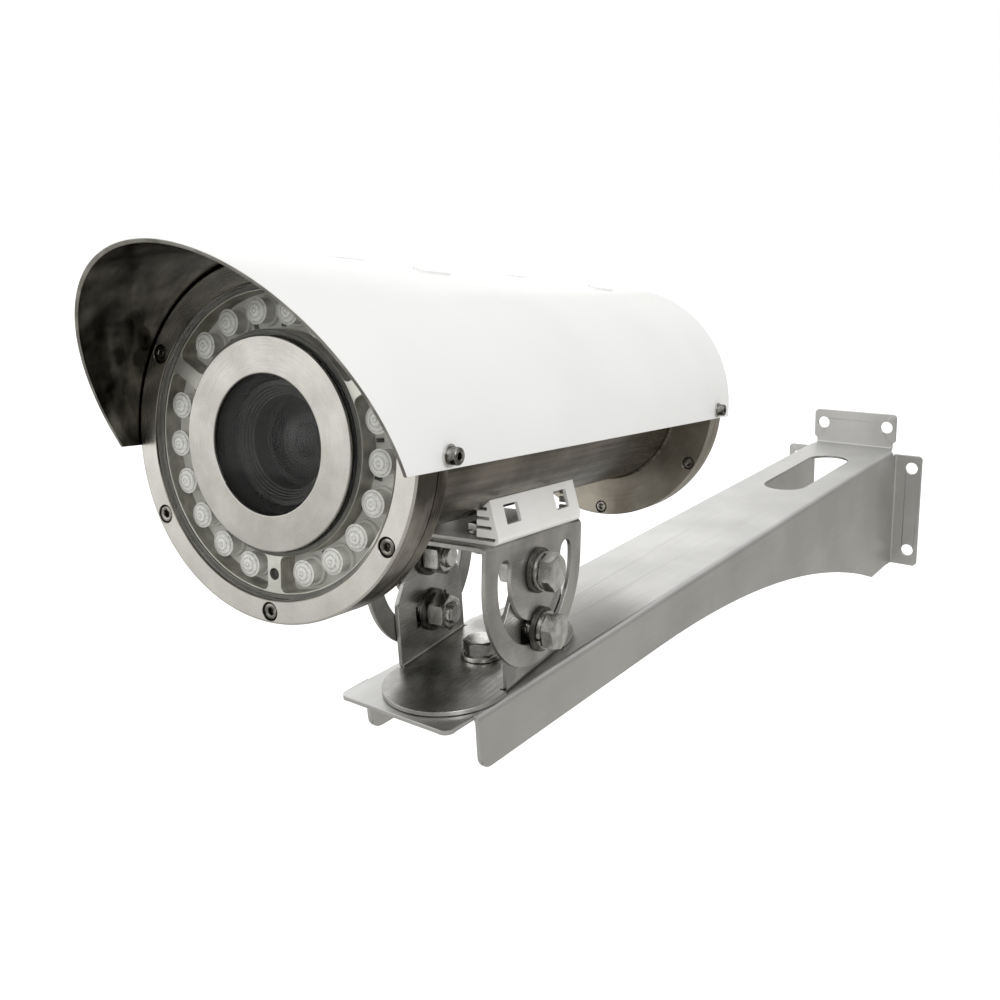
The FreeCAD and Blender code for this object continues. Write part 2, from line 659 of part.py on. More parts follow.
def window_seal():
    """Rubber seal around the rim and under the back edge of the pane."""
    return turned([(WINDOW_R, GLASS_Y), (SEAL_R, GLASS_Y), (SEAL_R, GLASS_BACK + SEAL_T),
                   (SHELF_R, GLASS_BACK + SEAL_T), (SHELF_R, GLASS_BACK), (WINDOW_R, GLASS_BACK)])


def centre_ring():
    """Flat metal ring on the pane around the lens opening."""
    y0 = GLASS_Y - RING_T
    return turned([(RING_IN_R, y0 + 0.5), (RING_IN_R + 0.5, y0), (RING_OUT_R - 0.5, y0),
                   (RING_OUT_R, y0 + 0.5), (RING_OUT_R, GLASS_Y), (RING_IN_R, GLASS_Y)])


def lens_shroud():
    """Black tube that keeps lamp light away from the camera lens."""
    return ring(RING_OUT_R, RING_OUT_R - SHROUD_T, GLASS_BACK, SHROUD_END)


def pockets():
    """Cutter of the three curved lamp pockets, whose ends run beside the spokes."""
    band = ring(LAMP_R + POCKET_HALF, LAMP_R - POCKET_HALF, 0, 20)
    for angle in SPOKES:
        bar = box(0, 80, -1, 21, -SPOKE_W / 2, SPOKE_W / 2)
        bar.rotate(V(0, 0, 0), Y_AXIS, -angle)
        band = band.cut(bar)
    return soften(band, POCKET_CORNER, lambda m, e: runs_along(e, Y_AXIS, 19))


def lamp_frame():
    """Ring plate with three lamp pockets and three spokes, one spoke drilled for the sensor."""
    body = ring(SHELF_R, RING_OUT_R, FRAME_Y, BOARD_Y).cut(pockets())
    spot = around(LAMP_R, SPOKES[0], 0)
    return body.cut(rod("y", SENSOR_R + 0.2, 0, 20, spot.x, spot.z))


def lamp_board():
    """Ring-shaped circuit board of the lamps."""
    return ring(SHELF_R, RING_OUT_R, BOARD_Y, BOARD_Y + BOARD_T)


def dome(radius, top, rim, back, bands):
    """Domed lens with a flat back, its dome a few cone bands laid on a sphere."""
    rise = rim - top
    ball = (radius ** 2 + rise ** 2) / (2 * rise)
    steps = [math.asin(radius / ball) * k / bands for k in range(bands + 1)]
    curve = [(ball * math.sin(a), top + ball * (1 - math.cos(a))) for a in steps]
    return turned(curve + [(radius, back), (0, back)])


def lamp_lenses():
    """Eighteen domed lamp lenses."""
    lenses = []
    for angle in lamp_angles():
        lens = dome(LENS_R, LENS_TOP, LENS_RIM, LENS_BASE, 3)
        lens.translate(around(LAMP_R, angle, 0))
        lenses.append(lens)
    return group(lenses)


def lamp_holders():
    """Eighteen lamp bodies, each on a round foot on the board."""
    holders = []
    for angle in lamp_angles():
        foot = BOARD_Y - HOLDER_FOOT
        holder = turned([(0, LENS_BASE), (LAMP_NECK_R, LENS_BASE), (LAMP_NECK_R, foot), (HOLDER_R, foot),
                         (HOLDER_R, BOARD_Y), (0, BOARD_Y)])
        holder.translate(around(LAMP_R, angle, 0))
        holders.append(holder)
    return group(holders)


def lamp_resistors():
    """Small surface parts between the lamps."""
    parts = []
    for middle in POCKET_MID:
        for k in range(LAMPS_PER_POCKET - 1):
            angle = middle + LAMP_PITCH * (k - (LAMPS_PER_POCKET - 2) / 2)
            chip = box(-1.6, 1.6, -0.8, 0.8, 0, 0.9)
            parts.append(placed(chip, around(LAMP_R - 5.0, angle, BOARD_Y), V(0, -1, 0), angle))
    return group(parts)


def light_sensor():
    """Photocell that stands in the lower spoke."""
    spot = around(LAMP_R, SPOKES[0], 0)
    return rod("y", SENSOR_R, FRAME_Y + 1.0, BOARD_Y, spot.x, spot.z)


def lens_barrel():
    """Stepped black zoom lens in front of the camera block."""
    waist = LENS_NOSE_Y + LENS_STEP + 2.5
    grip = waist + LENS_STEP + 0.5
    foot = grip + LENS_STEP
    bottom = LENS_NOSE_Y + ELEMENT_SINK + LENS_STEP - 0.5
    return turned([(ELEMENT_R, LENS_NOSE_Y + ELEMENT_SINK - 0.5), (LENS_NOSE_R - 2, LENS_NOSE_Y),
                   (LENS_NOSE_R, LENS_NOSE_Y), (LENS_NOSE_R, waist), (LENS_WAIST_R, waist + 0.5),
                   (LENS_WAIST_R, grip), (LENS_GRIP_R, grip + 0.5), (LENS_GRIP_R, foot),
                   (LENS_FOOT_R, foot + 0.5), (LENS_FOOT_R, CAMERA_Y), (0, CAMERA_Y), (0, bottom),
                   (ELEMENT_R, bottom)])


def lens_element():
    """Front glass element of the lens."""
    top = LENS_NOSE_Y + ELEMENT_SINK
    return dome(ELEMENT_R, top, top + 6.8, top + 9, 5)


def camera_block():
    """Camera body behind the lens with cooling ribs on its top."""
    h = CAMERA_HALF
    body = box(-h, h, CAMERA_Y, CAMERA_Y + CAMERA_L, -h, h)
    for k in range(5):
        y = CAMERA_Y + (k + 0.75) * RIB_PITCH
        body = body.cut(box(-h + 4, h - 4, y, y + 5, h - CAMERA_RIB, h + 1))
    return body


def camera_tray():
    """Sliding tray that rests on the inside of the tube."""
    plate = box(-TUBE_R, TUBE_R, SHROUD_END + 2, REAR_RING_Y - 12, TRAY_TOP - TRAY_T, TRAY_TOP)
    plate = plate.common(rod("y", BORE_R, 0, REAR_RING_END))
    half = CAMERA_HALF * 2 / 3
    riser = box(-half, half, CAMERA_Y + 10, CAMERA_Y + CAMERA_L - 10, TRAY_TOP, -CAMERA_HALF)
    return plate.fuse(riser).removeSplitter()


def control_board():
    """Supply and lamp driver board."""
    base = TRAY_TOP + POST_H
    return box(-BOARD_HALF, BOARD_HALF, BOARD_FRONT, BOARD_REAR, base, base + BOARD_T)


def board_posts():
    """Four posts under the control board."""
    inset = 2 * POST_R
    return group([rod("z", POST_R, TRAY_TOP, TRAY_TOP + POST_H, x, y)
                  for x in (inset - BOARD_HALF, BOARD_HALF - inset)
                  for y in (BOARD_FRONT + inset, BOARD_REAR - inset)])


def board_parts():
    """Transformer, capacitors and terminal block on the control board."""
    top = TRAY_TOP + POST_H + BOARD_T
    coil = BOARD_FRONT + COIL_L / 2
    block = BOARD_REAR - TERMINAL_L - 4
    parts = [box(-COIL_L / 2, COIL_L / 2, coil, coil + COIL_L, top, top + COIL_H),
             box(-TERMINAL_W / 2, TERMINAL_W / 2, block, block + TERMINAL_L, top, top + TERMINAL_L)]
    middle = coil + COIL_L + 3 * CAPACITOR_R
    parts += [rod("z", CAPACITOR_R, top, top + CAPACITOR_H, k * COIL_L / 2, middle) for k in (-1, 0, 1)]
    return group(parts)


def rear_ring():
    """Welded ring at the back of the tube with six counterbored screws."""
    body = turned([(TUBE_R, REAR_RING_Y), (FLANGE_R - 0.5, REAR_RING_Y), (FLANGE_R, REAR_RING_Y + 0.5),
                   (FLANGE_R, REAR_RING_END - 0.4), (FLANGE_R - 0.4, REAR_RING_END),
                   (TUBE_R, REAR_RING_END)])
    for angle in face_angles():
        spot = around(FACE_SCREW_R, angle, 0)
        body = body.cut(rod("y", M4_SINK_D / 2, REAR_RING_Y - 1, REAR_RING_Y + M4_SINK, spot.x, spot.z))
        body = body.cut(rod("y", M4 / 2 + RUN / 2, REAR_RING_Y, REAR_RING_END + 1, spot.x, spot.z))
    low, high = FLANGE_R - 8.8, FLANGE_R + 1
    return body.cut(rod("x", M4 / 2, -high, -low, SHIELD_SCREW_Y[1], 0)).cut(
        rod("x", M4 / 2, low, high, SHIELD_SCREW_Y[1], 0))


def rear_screws():
    """Six socket cap screws that hold the rear cover."""
    screw = cap_screw(M4, M4_HEAD_D, M4_HEAD, M4_KEY, 11)
    return group([placed(screw, around(FACE_SCREW_R, a, REAR_RING_Y + M4_SINK), V(0, -1, 0), 14 * k)
                  for k, a in enumerate(face_angles())])


def rear_cover():
    """Turned rear cover with two gland holes."""
    body = turned([(0, COVER_Y), (FLANGE_R - 0.4, COVER_Y), (FLANGE_R, COVER_Y + 0.4),
                   (FLANGE_R, COVER_END - 1), (FLANGE_R - 1, COVER_END), (0, COVER_END)])
    for angle in face_angles():
        spot = around(FACE_SCREW_R, angle, 0)
        body = body.cut(rod("y", M4 / 2, COVER_Y - 1, REAR_RING_Y + M4_SINK + 11, spot.x, spot.z))
    for x in (-GLAND_X, GLAND_X):
        body = body.cut(rod("y", GLAND_D / 2, COVER_Y - 1, COVER_END + 1, x, GLAND_Z))
    return body


def gland_parts():
    """Bodies, lock nuts, domed caps and rubber inserts of the two cable glands."""
    bodies, nuts, caps, inserts = [], [], [], []
    for x in (-GLAND_X, GLAND_X):
        spot = V(x, COVER_END, GLAND_Z)
        body = hex_prism(GLAND_FLATS, 5).fuse(rod("z", 9, 5, 11)).fuse(rod("z", GLAND_D / 2, -14, 0))
        bodies.append(placed(body.cut(rod("z", 6.5, -20, 20)), spot, Y_AXIS))
        nuts.append(placed(hex_nut(GLAND_D, GLAND_FLATS, 4), V(x, COVER_Y, GLAND_Z), V(0, -1, 0), 15))
        cap = hex_prism(GLAND_FLATS - 1, 9, 5).fuse(Part.makeCone(10.5, 8.0, 6, V(0, 0, 14), Z_AXIS))
        cap = cap.cut(rod("z", 9, 4, 11)).cut(rod("z", 6.5, 4, 30))
        caps.append(placed(cap, spot, Y_AXIS, 20))
        insert = rod("z", 6.5, 2, 20).cut(rod("z", 3.5, 16, 21))
        inserts.append(placed(insert, spot, Y_AXIS))
    return group(bodies), group(nuts), group(caps), group(inserts)


def sunshield():
    """Half-round sheet over the housing with a slanted visor and six filled slots."""
    sweep = 180 + 2 * SHIELD_DROP
    length = SHIELD_REAR - SHIELD_TIP
    shell = Part.makeCylinder(SHIELD_OUT_R, length, V(0, 0, 0), Z_AXIS, sweep)
    shell = shell.cut(Part.makeCylinder(SHIELD_IN_R, length, V(0, 0, 0), Z_AXIS))
    shell.rotate(V(0, 0, 0), Z_AXIS, -SHIELD_DROP)
    shell.rotate(V(0, 0, 0), X_AXIS, 90)
    shell.translate(V(0, SHIELD_REAR, 0))
    low = -SHIELD_OUT_R * math.sin(math.radians(SHIELD_DROP))
    slope = (SHIELD_TIP - SHIELD_CORNER) / (SHIELD_OUT_R - low)
    cut_low = SHIELD_CORNER - slope * 40
    cut_high = SHIELD_TIP + slope * 40
    front = prism([V(-100, cut_low, low - 40), V(-100, cut_high, SHIELD_OUT_R + 40),
                   V(-100, -300, SHIELD_OUT_R + 40), V(-100, -300, low - 40)], V(200, 0, 0))
    shell = shell.cut(front)
    for y in SHIELD_SCREW_Y:
        shell = shell.cut(rod("x", M4 / 2 + GAP, -90, 90, y, 0))
    for tilt, y in PLUG_SPOTS:
        shell = shell.cut(plug_body(tilt, y, PLUG_L, PLUG_W))
    return shell


def plug_body(tilt, y, length, width):
    """Round-ended bar that points out through the shield top."""
    bar = placed(oblong(length, width, 30), V(0, y, SHIELD_IN_R - 10), Z_AXIS, 90)
    bar.rotate(V(0, 0, 0), Y_AXIS, tilt)
    return bar


def shield_plugs():
    """Six low plugs in the slots of the shield top."""
    plugs = []
    for tilt, y in PLUG_SPOTS:
        stem = plug_body(tilt, y, PLUG_L, PLUG_W).common(ring(SHIELD_OUT_R, SHIELD_IN_R, 0, 340))
        head = plug_body(tilt, y, PLUG_L + 2, PLUG_W + 2)
        head = head.common(ring(SHIELD_OUT_R + 0.9, SHIELD_OUT_R, 0, 340))
        plugs.append(stem.fuse(head))
    return group(plugs)


def shield_fasteners():
    """Radial screws, washers and rubber pads of the sunshield."""
    screws, washers, pads = [], [], []
    screw = cap_screw(M4, M4_HEAD_D, M4_HEAD, M4_KEY, 9)
    for side in (-1, 1):
        out = V(side, 0, 0)
        for y in SHIELD_SCREW_Y:
            flat = placed(washer(9, M4 + RUN, 1.0), V(side * SHIELD_OUT_R, y, 0), out)
            washers.append(flat)
            screws.append(placed(screw, V(side * (SHIELD_OUT_R + 1.0), y, 0), out, 20))
            pad = placed(washer(6.2, M4 + RUN, 6), V(side * (FLANGE_R - 3), y, 0), out)
            pads.append(pad.common(ring(SHIELD_IN_R, FLANGE_R, 0, 340)))
    return group(screws), group(washers), group(pads)


# Placement of the three bodies in the world frame

def on_arm(shape):
    """Arm piece moved to its height above the wall bolts."""
    return placed(shape, V(0, 0, ARM_TOP), Z_AXIS)


def on_swivel(shape):
    """Swivel piece turned by the pan of the photograph."""
    return placed(shape, V(0, PAN_Y, ARM_TOP), Z_AXIS, PAN_REST)


def on_head(shape):
    """Head piece tilted and turned by the pose of the photograph."""
    turn = FreeCAD.Rotation(Z_AXIS, PAN_REST).multiply(FreeCAD.Rotation(X_AXIS, -TILT_REST))
    out = shape.copy()
    pose = FreeCAD.Placement(V(0, PAN_Y, ARM_TOP + PIVOT_UP), turn)
    out.Placement = pose.multiply(out.Placement)
    return out


def on_housing(shape):
    """Housing piece moved from its own axis to the pivot, then placed with the head."""
    out = shape.copy()
    out.Placement = FreeCAD.Placement(V(0, FACE_Y, AXIS_UP), FreeCAD.Rotation()).multiply(out.Placement)
    return on_head(out)


def nodes():
    """Every node by name, in the world frame."""
    pan_bolt, pan_nut, pan_washers = pan_fasteners()
    tilt_bolts, tilt_nuts, tilt_washers, tilt_locks = tilt_fasteners()
    cradle_bolts, cradle_nuts, cradle_washers = cradle_fasteners()
    gland_bodies, gland_nuts, gland_caps, gland_inserts = gland_parts()
    shield_screws, shield_washers, shield_pads = shield_fasteners()
    arm = {"wall_arm": wall_arm(), "pan_bolt": pan_bolt, "pan_nut": pan_nut, "pan_washers": pan_washers}
    swivel = {"swivel_bracket": swivel_bracket(), "tilt_bolts": tilt_bolts, "tilt_nuts": tilt_nuts,
              "tilt_washers": tilt_washers, "tilt_lock_washers": tilt_locks}
    head = {"tilt_yoke": yoke(), "cradle": cradle(), "cradle_bolts": cradle_bolts,
            "cradle_nuts": cradle_nuts, "cradle_washers": cradle_washers}
    housing = {
        "front_bezel": front_bezel(), "bezel_screws": bezel_screws(), "front_ring": front_ring(),
        "front_gasket": seam_gasket(BEZEL_T), "housing_tube": housing_tube(),
        "window_glass": window_glass(), "window_seal": window_seal(), "centre_ring": centre_ring(),
        "lens_shroud": lens_shroud(), "lamp_frame": lamp_frame(), "lamp_board": lamp_board(),
        "lamp_lenses": lamp_lenses(), "lamp_holders": lamp_holders(),
        "lamp_resistors": lamp_resistors(), "light_sensor": light_sensor(),
        "lens_barrel": lens_barrel(), "lens_element": lens_element(), "camera_block": camera_block(),
        "camera_tray": camera_tray(), "control_board": control_board(), "board_posts": board_posts(),
        "board_parts": board_parts(), "rear_ring": rear_ring(), "rear_gasket": seam_gasket(REAR_RING_END),
        "rear_screws": rear_screws(), "rear_cover": rear_cover(), "gland_bodies": gland_bodies,
        "gland_nuts": gland_nuts, "gland_caps": gland_caps, "gland_inserts": gland_inserts,
        "sunshield": sunshield(), "shield_plugs": shield_plugs(), "shield_screws": shield_screws,
        "shield_washers": shield_washers, "shield_pads": shield_pads,
    }
    out = {name: on_arm(shape) for name, shape in arm.items()}
    out.update({name: on_swivel(shape) for name, shape in swivel.items()})
    out.update({name: on_head(shape) for name, shape in head.items()})
    out.update({name: on_housing(shape) for name, shape in housing.items()})
    return out


def main():
    """Write one STEP file for each node."""
    os.makedirs("parts", exist_ok=True)
    for name, shape in nodes().items():
        shape.exportStep("parts/" + name + ".step")


main()
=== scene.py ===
import logging
import math
from dataclasses import dataclass
from enum import Enum
from typing import Any, Callable, Sequence

import bmesh
import bpy
import numpy as np
from mathutils import Matrix
from mathutils.geometry import delaunay_2d_cdt


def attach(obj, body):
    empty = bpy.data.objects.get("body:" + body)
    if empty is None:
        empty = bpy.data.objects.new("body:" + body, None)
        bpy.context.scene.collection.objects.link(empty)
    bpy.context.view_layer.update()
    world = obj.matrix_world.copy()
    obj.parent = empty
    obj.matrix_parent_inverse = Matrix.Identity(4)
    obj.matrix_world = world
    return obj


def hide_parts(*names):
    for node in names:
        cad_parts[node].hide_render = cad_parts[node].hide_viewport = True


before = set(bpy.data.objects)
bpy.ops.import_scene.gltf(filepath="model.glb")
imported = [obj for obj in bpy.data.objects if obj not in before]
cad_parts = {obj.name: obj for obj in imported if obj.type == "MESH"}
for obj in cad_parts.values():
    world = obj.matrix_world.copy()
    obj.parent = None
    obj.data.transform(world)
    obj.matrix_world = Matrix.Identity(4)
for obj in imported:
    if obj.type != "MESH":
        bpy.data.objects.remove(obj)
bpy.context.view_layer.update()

# Looks of the security camera housing. Sizes are in millimetres; meshes are written in metres.

MM = 0.001
Array = np.ndarray
log = logging.getLogger("camera_housing")


class Body(Enum):
    """The three moving bodies of the frame."""

    BRACKET = "bracket"
    SWIVEL = "swivel"
    HEAD = "head"


class Grain(Enum):
    """Axis that the polishing lines of a flat sheet follow."""

    X = 0
    Y = 1
    Z = 2


# Places and turns

def turn_about(axis: Grain, degrees: float) -> Array:
    """Rotation matrix about a main axis by the right-hand rule.

    Args:
        axis: The main axis.
        degrees: The angle.

    Returns:
        A 3 by 3 matrix.
    """
    kept = axis.value
    first, second = (kept + 1) % 3, (kept + 2) % 3
    turn = np.eye(3)
    turn[first, first] = turn[second, second] = math.cos(math.radians(degrees))
    turn[second, first] = math.sin(math.radians(degrees))
    turn[first, second] = -turn[second, first]
    return turn


@dataclass(frozen=True)
class Place:
    """A turn and an origin that carry local millimetres into the world."""

    turn: Array
    origin: Array

    def carry(self, points: Array) -> Array:
        """Local points in the millimetres of the parent."""
        return points @ self.turn.T + self.origin

    def world(self, points: Array) -> Array:
        """Local points in world metres."""
        return self.carry(points) * MM

    def at(self, origin: Sequence[float], axis: Sequence[float] = (0, 0, 1), spin: float = 0.0) -> "Place":
        """Place of a piece whose own +Z follows an axis of this place.

        Args:
            origin: Point in this place.
            axis: Direction of the piece's +Z in this place.
            spin: Degrees about that direction.

        Returns:
            The place of the piece.
        """
        up = np.array(axis, float) / np.linalg.norm(axis)
        side = np.cross((0.0, 1.0, 0.0), up)
        if np.linalg.norm(side) < 1e-6:
            side = np.array((1.0, 0.0, 0.0))
        side /= np.linalg.norm(side)
        local = np.stack((side, np.cross(up, side), up), axis=1) @ turn_about(Grain.Z, spin)
        return Place(self.turn @ local, self.carry(np.array(origin, float)))


PAN_REST = 7.7
TILT_REST = 8.0
ARM_TOP = 57.0
PAN_Y = -564.0
PIVOT_UP = 58.0
AXIS_UP = 76.0
FACE_Y = -158.4

ON_ARM = Place(np.eye(3), np.array((0.0, 0.0, ARM_TOP)))
ON_SWIVEL = Place(turn_about(Grain.Z, PAN_REST), np.array((0.0, PAN_Y, ARM_TOP)))
ON_HEAD = Place(turn_about(Grain.Z, PAN_REST) @ turn_about(Grain.X, -TILT_REST),
                np.array((0.0, PAN_Y, ARM_TOP + PIVOT_UP)))
ON_HOUSING = ON_HEAD.at((0, FACE_Y, AXIS_UP))
IN_WORLD = Place(np.eye(3), np.zeros(3))


# Surfaces

@dataclass
class Surface:
    """A grid of points with a real-size pattern position for each and a finish number."""

    points: Array
    pattern: Array
    finish: int = 0

    def moved(self, place: Place) -> "Surface":
        """The same surface carried to another place."""
        return Surface(place.carry(self.points), self.pattern, self.finish)


def lay_pattern(points: Array) -> Array:
    """Pattern position from arc lengths: the mean running length along rows and along columns.

    Args:
        points: Grid of shape (rows, columns, 3) in millimetres.

    Returns:
        Grid of shape (rows, columns, 2) in metres.
    """
    across = np.linalg.norm(np.diff(points, axis=1), axis=2).max(axis=0)
    along = np.linalg.norm(np.diff(points, axis=0), axis=2).mean(axis=1)
    u = np.concatenate(([0.0], np.cumsum(across)))
    v = np.concatenate(([0.0], np.cumsum(along)))
    grid_u, grid_v = np.meshgrid(u, v)
    return np.stack((grid_u, grid_v), axis=2) * MM


def surface(points: Array, finish: int = 0) -> Surface:
    """A surface with its pattern laid by arc length."""
    return Surface(points, lay_pattern(points), finish)


def rounded(corners: Sequence[tuple[float, float, float]], steps: int = 4, guard: float = 0.25) -> Array:
    """Profile whose corners are arcs.

    Each corner is replaced by the arc that is tangent to both of its sides: the arc's middle lies on
    the line that halves the corner, at the radius over the sine of half the corner's angle. A guard
    point on each side keeps the flat beside the arc flat.

    Args:
        corners: Points as (radius from axis, height, corner radius).
        steps: Points on an arc.
        guard: Distance from the arc to its guard point.

    Returns:
        Array of (radius from axis, height).
    """
    spots = np.array([c[:2] for c in corners], float)
    out = [spots[:1]]
    for before, here, after, corner in zip(spots[:-2], spots[1:-1], spots[2:], corners[1:-1]):
        radius = corner[2]
        back, ahead = before - here, after - here
        reach_back, reach_ahead = np.linalg.norm(back), np.linalg.norm(ahead)
        back, ahead = back / reach_back, ahead / reach_ahead
        half = math.acos(float(np.clip(back @ ahead, -1, 1))) / 2
        if radius <= 0 or half > 1.55:
            out.append(here[None])
            continue
        run = radius / math.tan(half)
        middle = here + (back + ahead) / np.linalg.norm(back + ahead) * radius / math.sin(half)
        first = (here + back * run) - middle
        last = (here + ahead * run) - middle
        start, span = math.atan2(first[1], first[0]), math.pi - 2 * half
        side = 1.0 if first[0] * last[1] - first[1] * last[0] > 0 else -1.0
        angles = start + side * np.linspace(0, span, steps)
        arc = middle + radius * np.stack((np.cos(angles), np.sin(angles)), axis=1)
        if reach_back > run + 2 * guard:
            out.append((here + back * (run + guard))[None])
        out.append(arc)
        if reach_ahead > run + 2 * guard:
            out.append((here + ahead * (run + guard))[None])
    out.append(spots[-1:])
    return np.concatenate(out)


def lathe(profile: Array, turns: int = 128, start: float = 0.0, sweep: float = 360.0,
          finish: int = 0) -> Surface:
    """Surface turned about local +Z: x = r cos a, y = r sin a, z = h for each (r, h) and angle a.

    Args:
        profile: Array of (radius, height).
        turns: Steps around.
        start: First angle in degrees.
        sweep: Angle covered in degrees.
        finish: Finish number.

    Returns:
        The surface.
    """
    angle = np.radians(start + sweep * np.arange(turns + 1) / turns)
    r, h = profile[:, :1], profile[:, 1:]
    points = np.stack((r * np.cos(angle), r * np.sin(angle), h + 0 * angle), axis=2)
    return surface(points, finish)


def stacked(rows: Sequence[tuple[Array, Array]], angle: Array) -> Surface:
    """Surface from rows of (radius, height), each with a value for every angle."""
    return surface(np.stack([np.stack((r * np.cos(angle), r * np.sin(angle), z), axis=1) for r, z in rows]))


def hexagon(angle: Array, flats: float) -> Array:
    """Distance from the middle to a hexagon's side: half the flats over the cosine of the angle
    from the nearest side's middle."""
    from_side = np.mod(angle + math.pi / 6, math.pi / 3) - math.pi / 6
    return flats / 2 / np.cos(from_side)


def hex_head(flats: float, height: float, collar: float = 0.0, turns: int = 72) -> Surface:
    """Hexagon head on z = 0. Its top is a disc; below it the chamfer cone meets the six sides, so the
    height of each chamfer point falls with its distance beyond the disc.

    Args:
        flats: Distance across flats.
        height: Height of the head.
        collar: Height of the round washer face under the head.
        turns: Steps around.

    Returns:
        The closed surface of the head.
    """
    angle = 2 * math.pi * np.arange(turns + 1) / turns
    side = hexagon(angle, flats)
    disc = np.full_like(side, flats * 0.455)
    fall = height - (side - disc) * 0.55
    zero = np.zeros_like(side)
    rows = [(zero, zero + height), (disc * 0.6, zero + height), (disc - 0.25, zero + height),
            (disc + 0.05, zero + height - 0.06), (side * 0.995, fall + 0.05), (side, fall - 0.15)]
    rows += [(side, zero + collar + 0.25), (side - 0.12, zero + collar), (disc + 0.2, zero + collar),
             (disc + 0.2, zero + 0.05), (disc, zero), (zero, zero)]
    return stacked(rows, angle)


def hex_nut(size: "Thread", turns: int = 72) -> Surface:
    """Hexagon nut on z = 0: the loop of its section runs up the threaded bore, over the chamfered top,
    down the six sides and back under the chamfered bottom.

    Args:
        size: The nut's size.
        turns: Steps around.

    Returns:
        The closed surface of the nut.
    """
    angle = 2 * math.pi * np.arange(turns + 1) / turns
    side = hexagon(angle, size.flats)
    disc = np.full_like(side, size.flats * 0.455)
    bore = np.full_like(side, size.diameter / 2 - 0.5)
    zero, high = np.zeros_like(side), np.full_like(side, size.nut)
    fall = (side - disc) * 0.55
    rows = [(bore, high / 2), (bore, high - 0.9), (bore + 0.8, high), (disc - 0.25, high),
            (disc + 0.05, high - 0.06), (side * 0.995, high - fall + 0.05), (side, high - fall - 0.15),
            (side, fall + 0.15), (side * 0.995, fall - 0.05), (disc + 0.05, zero + 0.06),
            (disc - 0.25, zero), (bore + 0.8, zero), (bore, zero + 0.9), (bore, high / 2)]
    return stacked(rows, angle)


def socket_head(diameter: float, height: float, key: float, turns: int = 60) -> Surface:
    """Socket cap head on z = 0: rows run from the socket's pointed floor up its six walls, over a
    small chamfer to the round rim, down the knurled side and across the bottom.

    Args:
        diameter: Head diameter.
        height: Head height.
        key: Distance across the socket's flats.
        turns: Steps around.

    Returns:
        The closed surface of the head.
    """
    angle = 2 * math.pi * np.arange(turns + 1) / turns
    six = hexagon(angle, key)
    rim = np.full_like(six, diameter / 2)
    knurl = rim - 0.045 * (1 + np.cos(30 * angle))
    zero = np.zeros_like(six)
    floor = height * 0.45
    rows = [(zero, zero + floor - 0.4), (six * 0.97, zero + floor), (six, zero + height - 0.3),
            (six + 0.25, zero + height - 0.03), (six + 0.4, zero + height), (rim - 0.6, zero + height),
            (rim - 0.35, zero + height - 0.05), (rim - 0.08, zero + height - 0.4),
            (knurl, zero + height - 0.6), (knurl, zero + 0.3), (rim - 0.15, zero + 0.05),
            (rim - 0.3, zero), (zero, zero)]
    return stacked(rows, angle)


def thread(diameter: float, pitch: float, low: float, high: float, turns: int = 40) -> Surface:
    """Screw thread from low to high along +Z: the radius falls by the thread's depth times a
    triangle wave of height over pitch minus the share of a turn; both ends close on the axis.

    Args:
        diameter: Outer diameter.
        pitch: Rise of one turn.
        low: Lower end.
        high: Upper end.
        turns: Steps around.

    Returns:
        The closed surface.
    """
    rows = max(int((high - low) / pitch * 6), 6)
    z = np.linspace(low, high, rows)[:, None]
    share = np.linspace(0, 1, turns + 1)[None]
    phase = np.mod(z / pitch - share, 1.0)
    depth = 0.58 * pitch * np.abs(2 * phase - 1) * np.clip((high - z) / 0.8, 0.0, 1.0)
    taper = 0.9 * np.clip(1 - (high - z) / 0.9, 0, 1)
    radius = diameter / 2 - depth - taper
    angle = 2 * math.pi * share
    body = np.stack((radius * np.cos(angle), radius * np.sin(angle), z + 0 * share), axis=2)
    first = np.zeros((1, turns + 1, 3)) + (0, 0, low)
    last = np.zeros((1, turns + 1, 3)) + (0, 0, high)
    return surface(np.concatenate((first, body, last)))


def flat_ring(outer: float, inner: float, thick: float, turns: int = 72, sweep: float = 360.0) -> Surface:
    """Washer on z = 0 with softly broken edges."""
    soft = min(0.3, thick / 4)
    return lathe(rounded([(inner, thick / 2, 0), (inner, thick, soft), (outer, thick, soft),
                          (outer, 0, soft), (inner, 0, soft), (inner, thick / 2, 0)], 3), turns, 0, sweep)


def spring_ring(outer: float, inner: float, thick: float, turns: int = 84) -> Surface:
    """Split spring washer on z = 0: a square section carried once around, rising by a fraction of
    its thickness, with a gap of eight degrees between its two ends."""
    share = np.linspace(0, 1, turns + 1)
    angle = np.radians(4 + 352 * share)
    soft = 0.25
    section = rounded([(inner, 0.4, 0), (inner, thick, soft), (outer, thick, soft), (outer, 0, soft),
                       (inner, 0, soft), (inner, 0.4, 0)], 3)
    section = section * (1.0, 0.86)
    lift = 0.14 * thick * share
    points = np.stack((section[:, :1] * np.cos(angle), section[:, :1] * np.sin(angle),
                       section[:, 1:] + lift), axis=2)
    middle = points.mean(axis=0)
    ends = np.repeat(middle[[0, -1], None], len(section), axis=1).transpose(1, 0, 2)
    return surface(np.concatenate((ends[:, :1], points, ends[:, 1:]), axis=1))


# Plates with holes

def circle(x: float, y: float, radius: float, steps: int = 48) -> Array:
    """Closed outline of a circle."""
    angle = 2 * math.pi * np.arange(steps) / steps
    return np.stack((x + radius * np.cos(angle), y + radius * np.sin(angle)), axis=1)


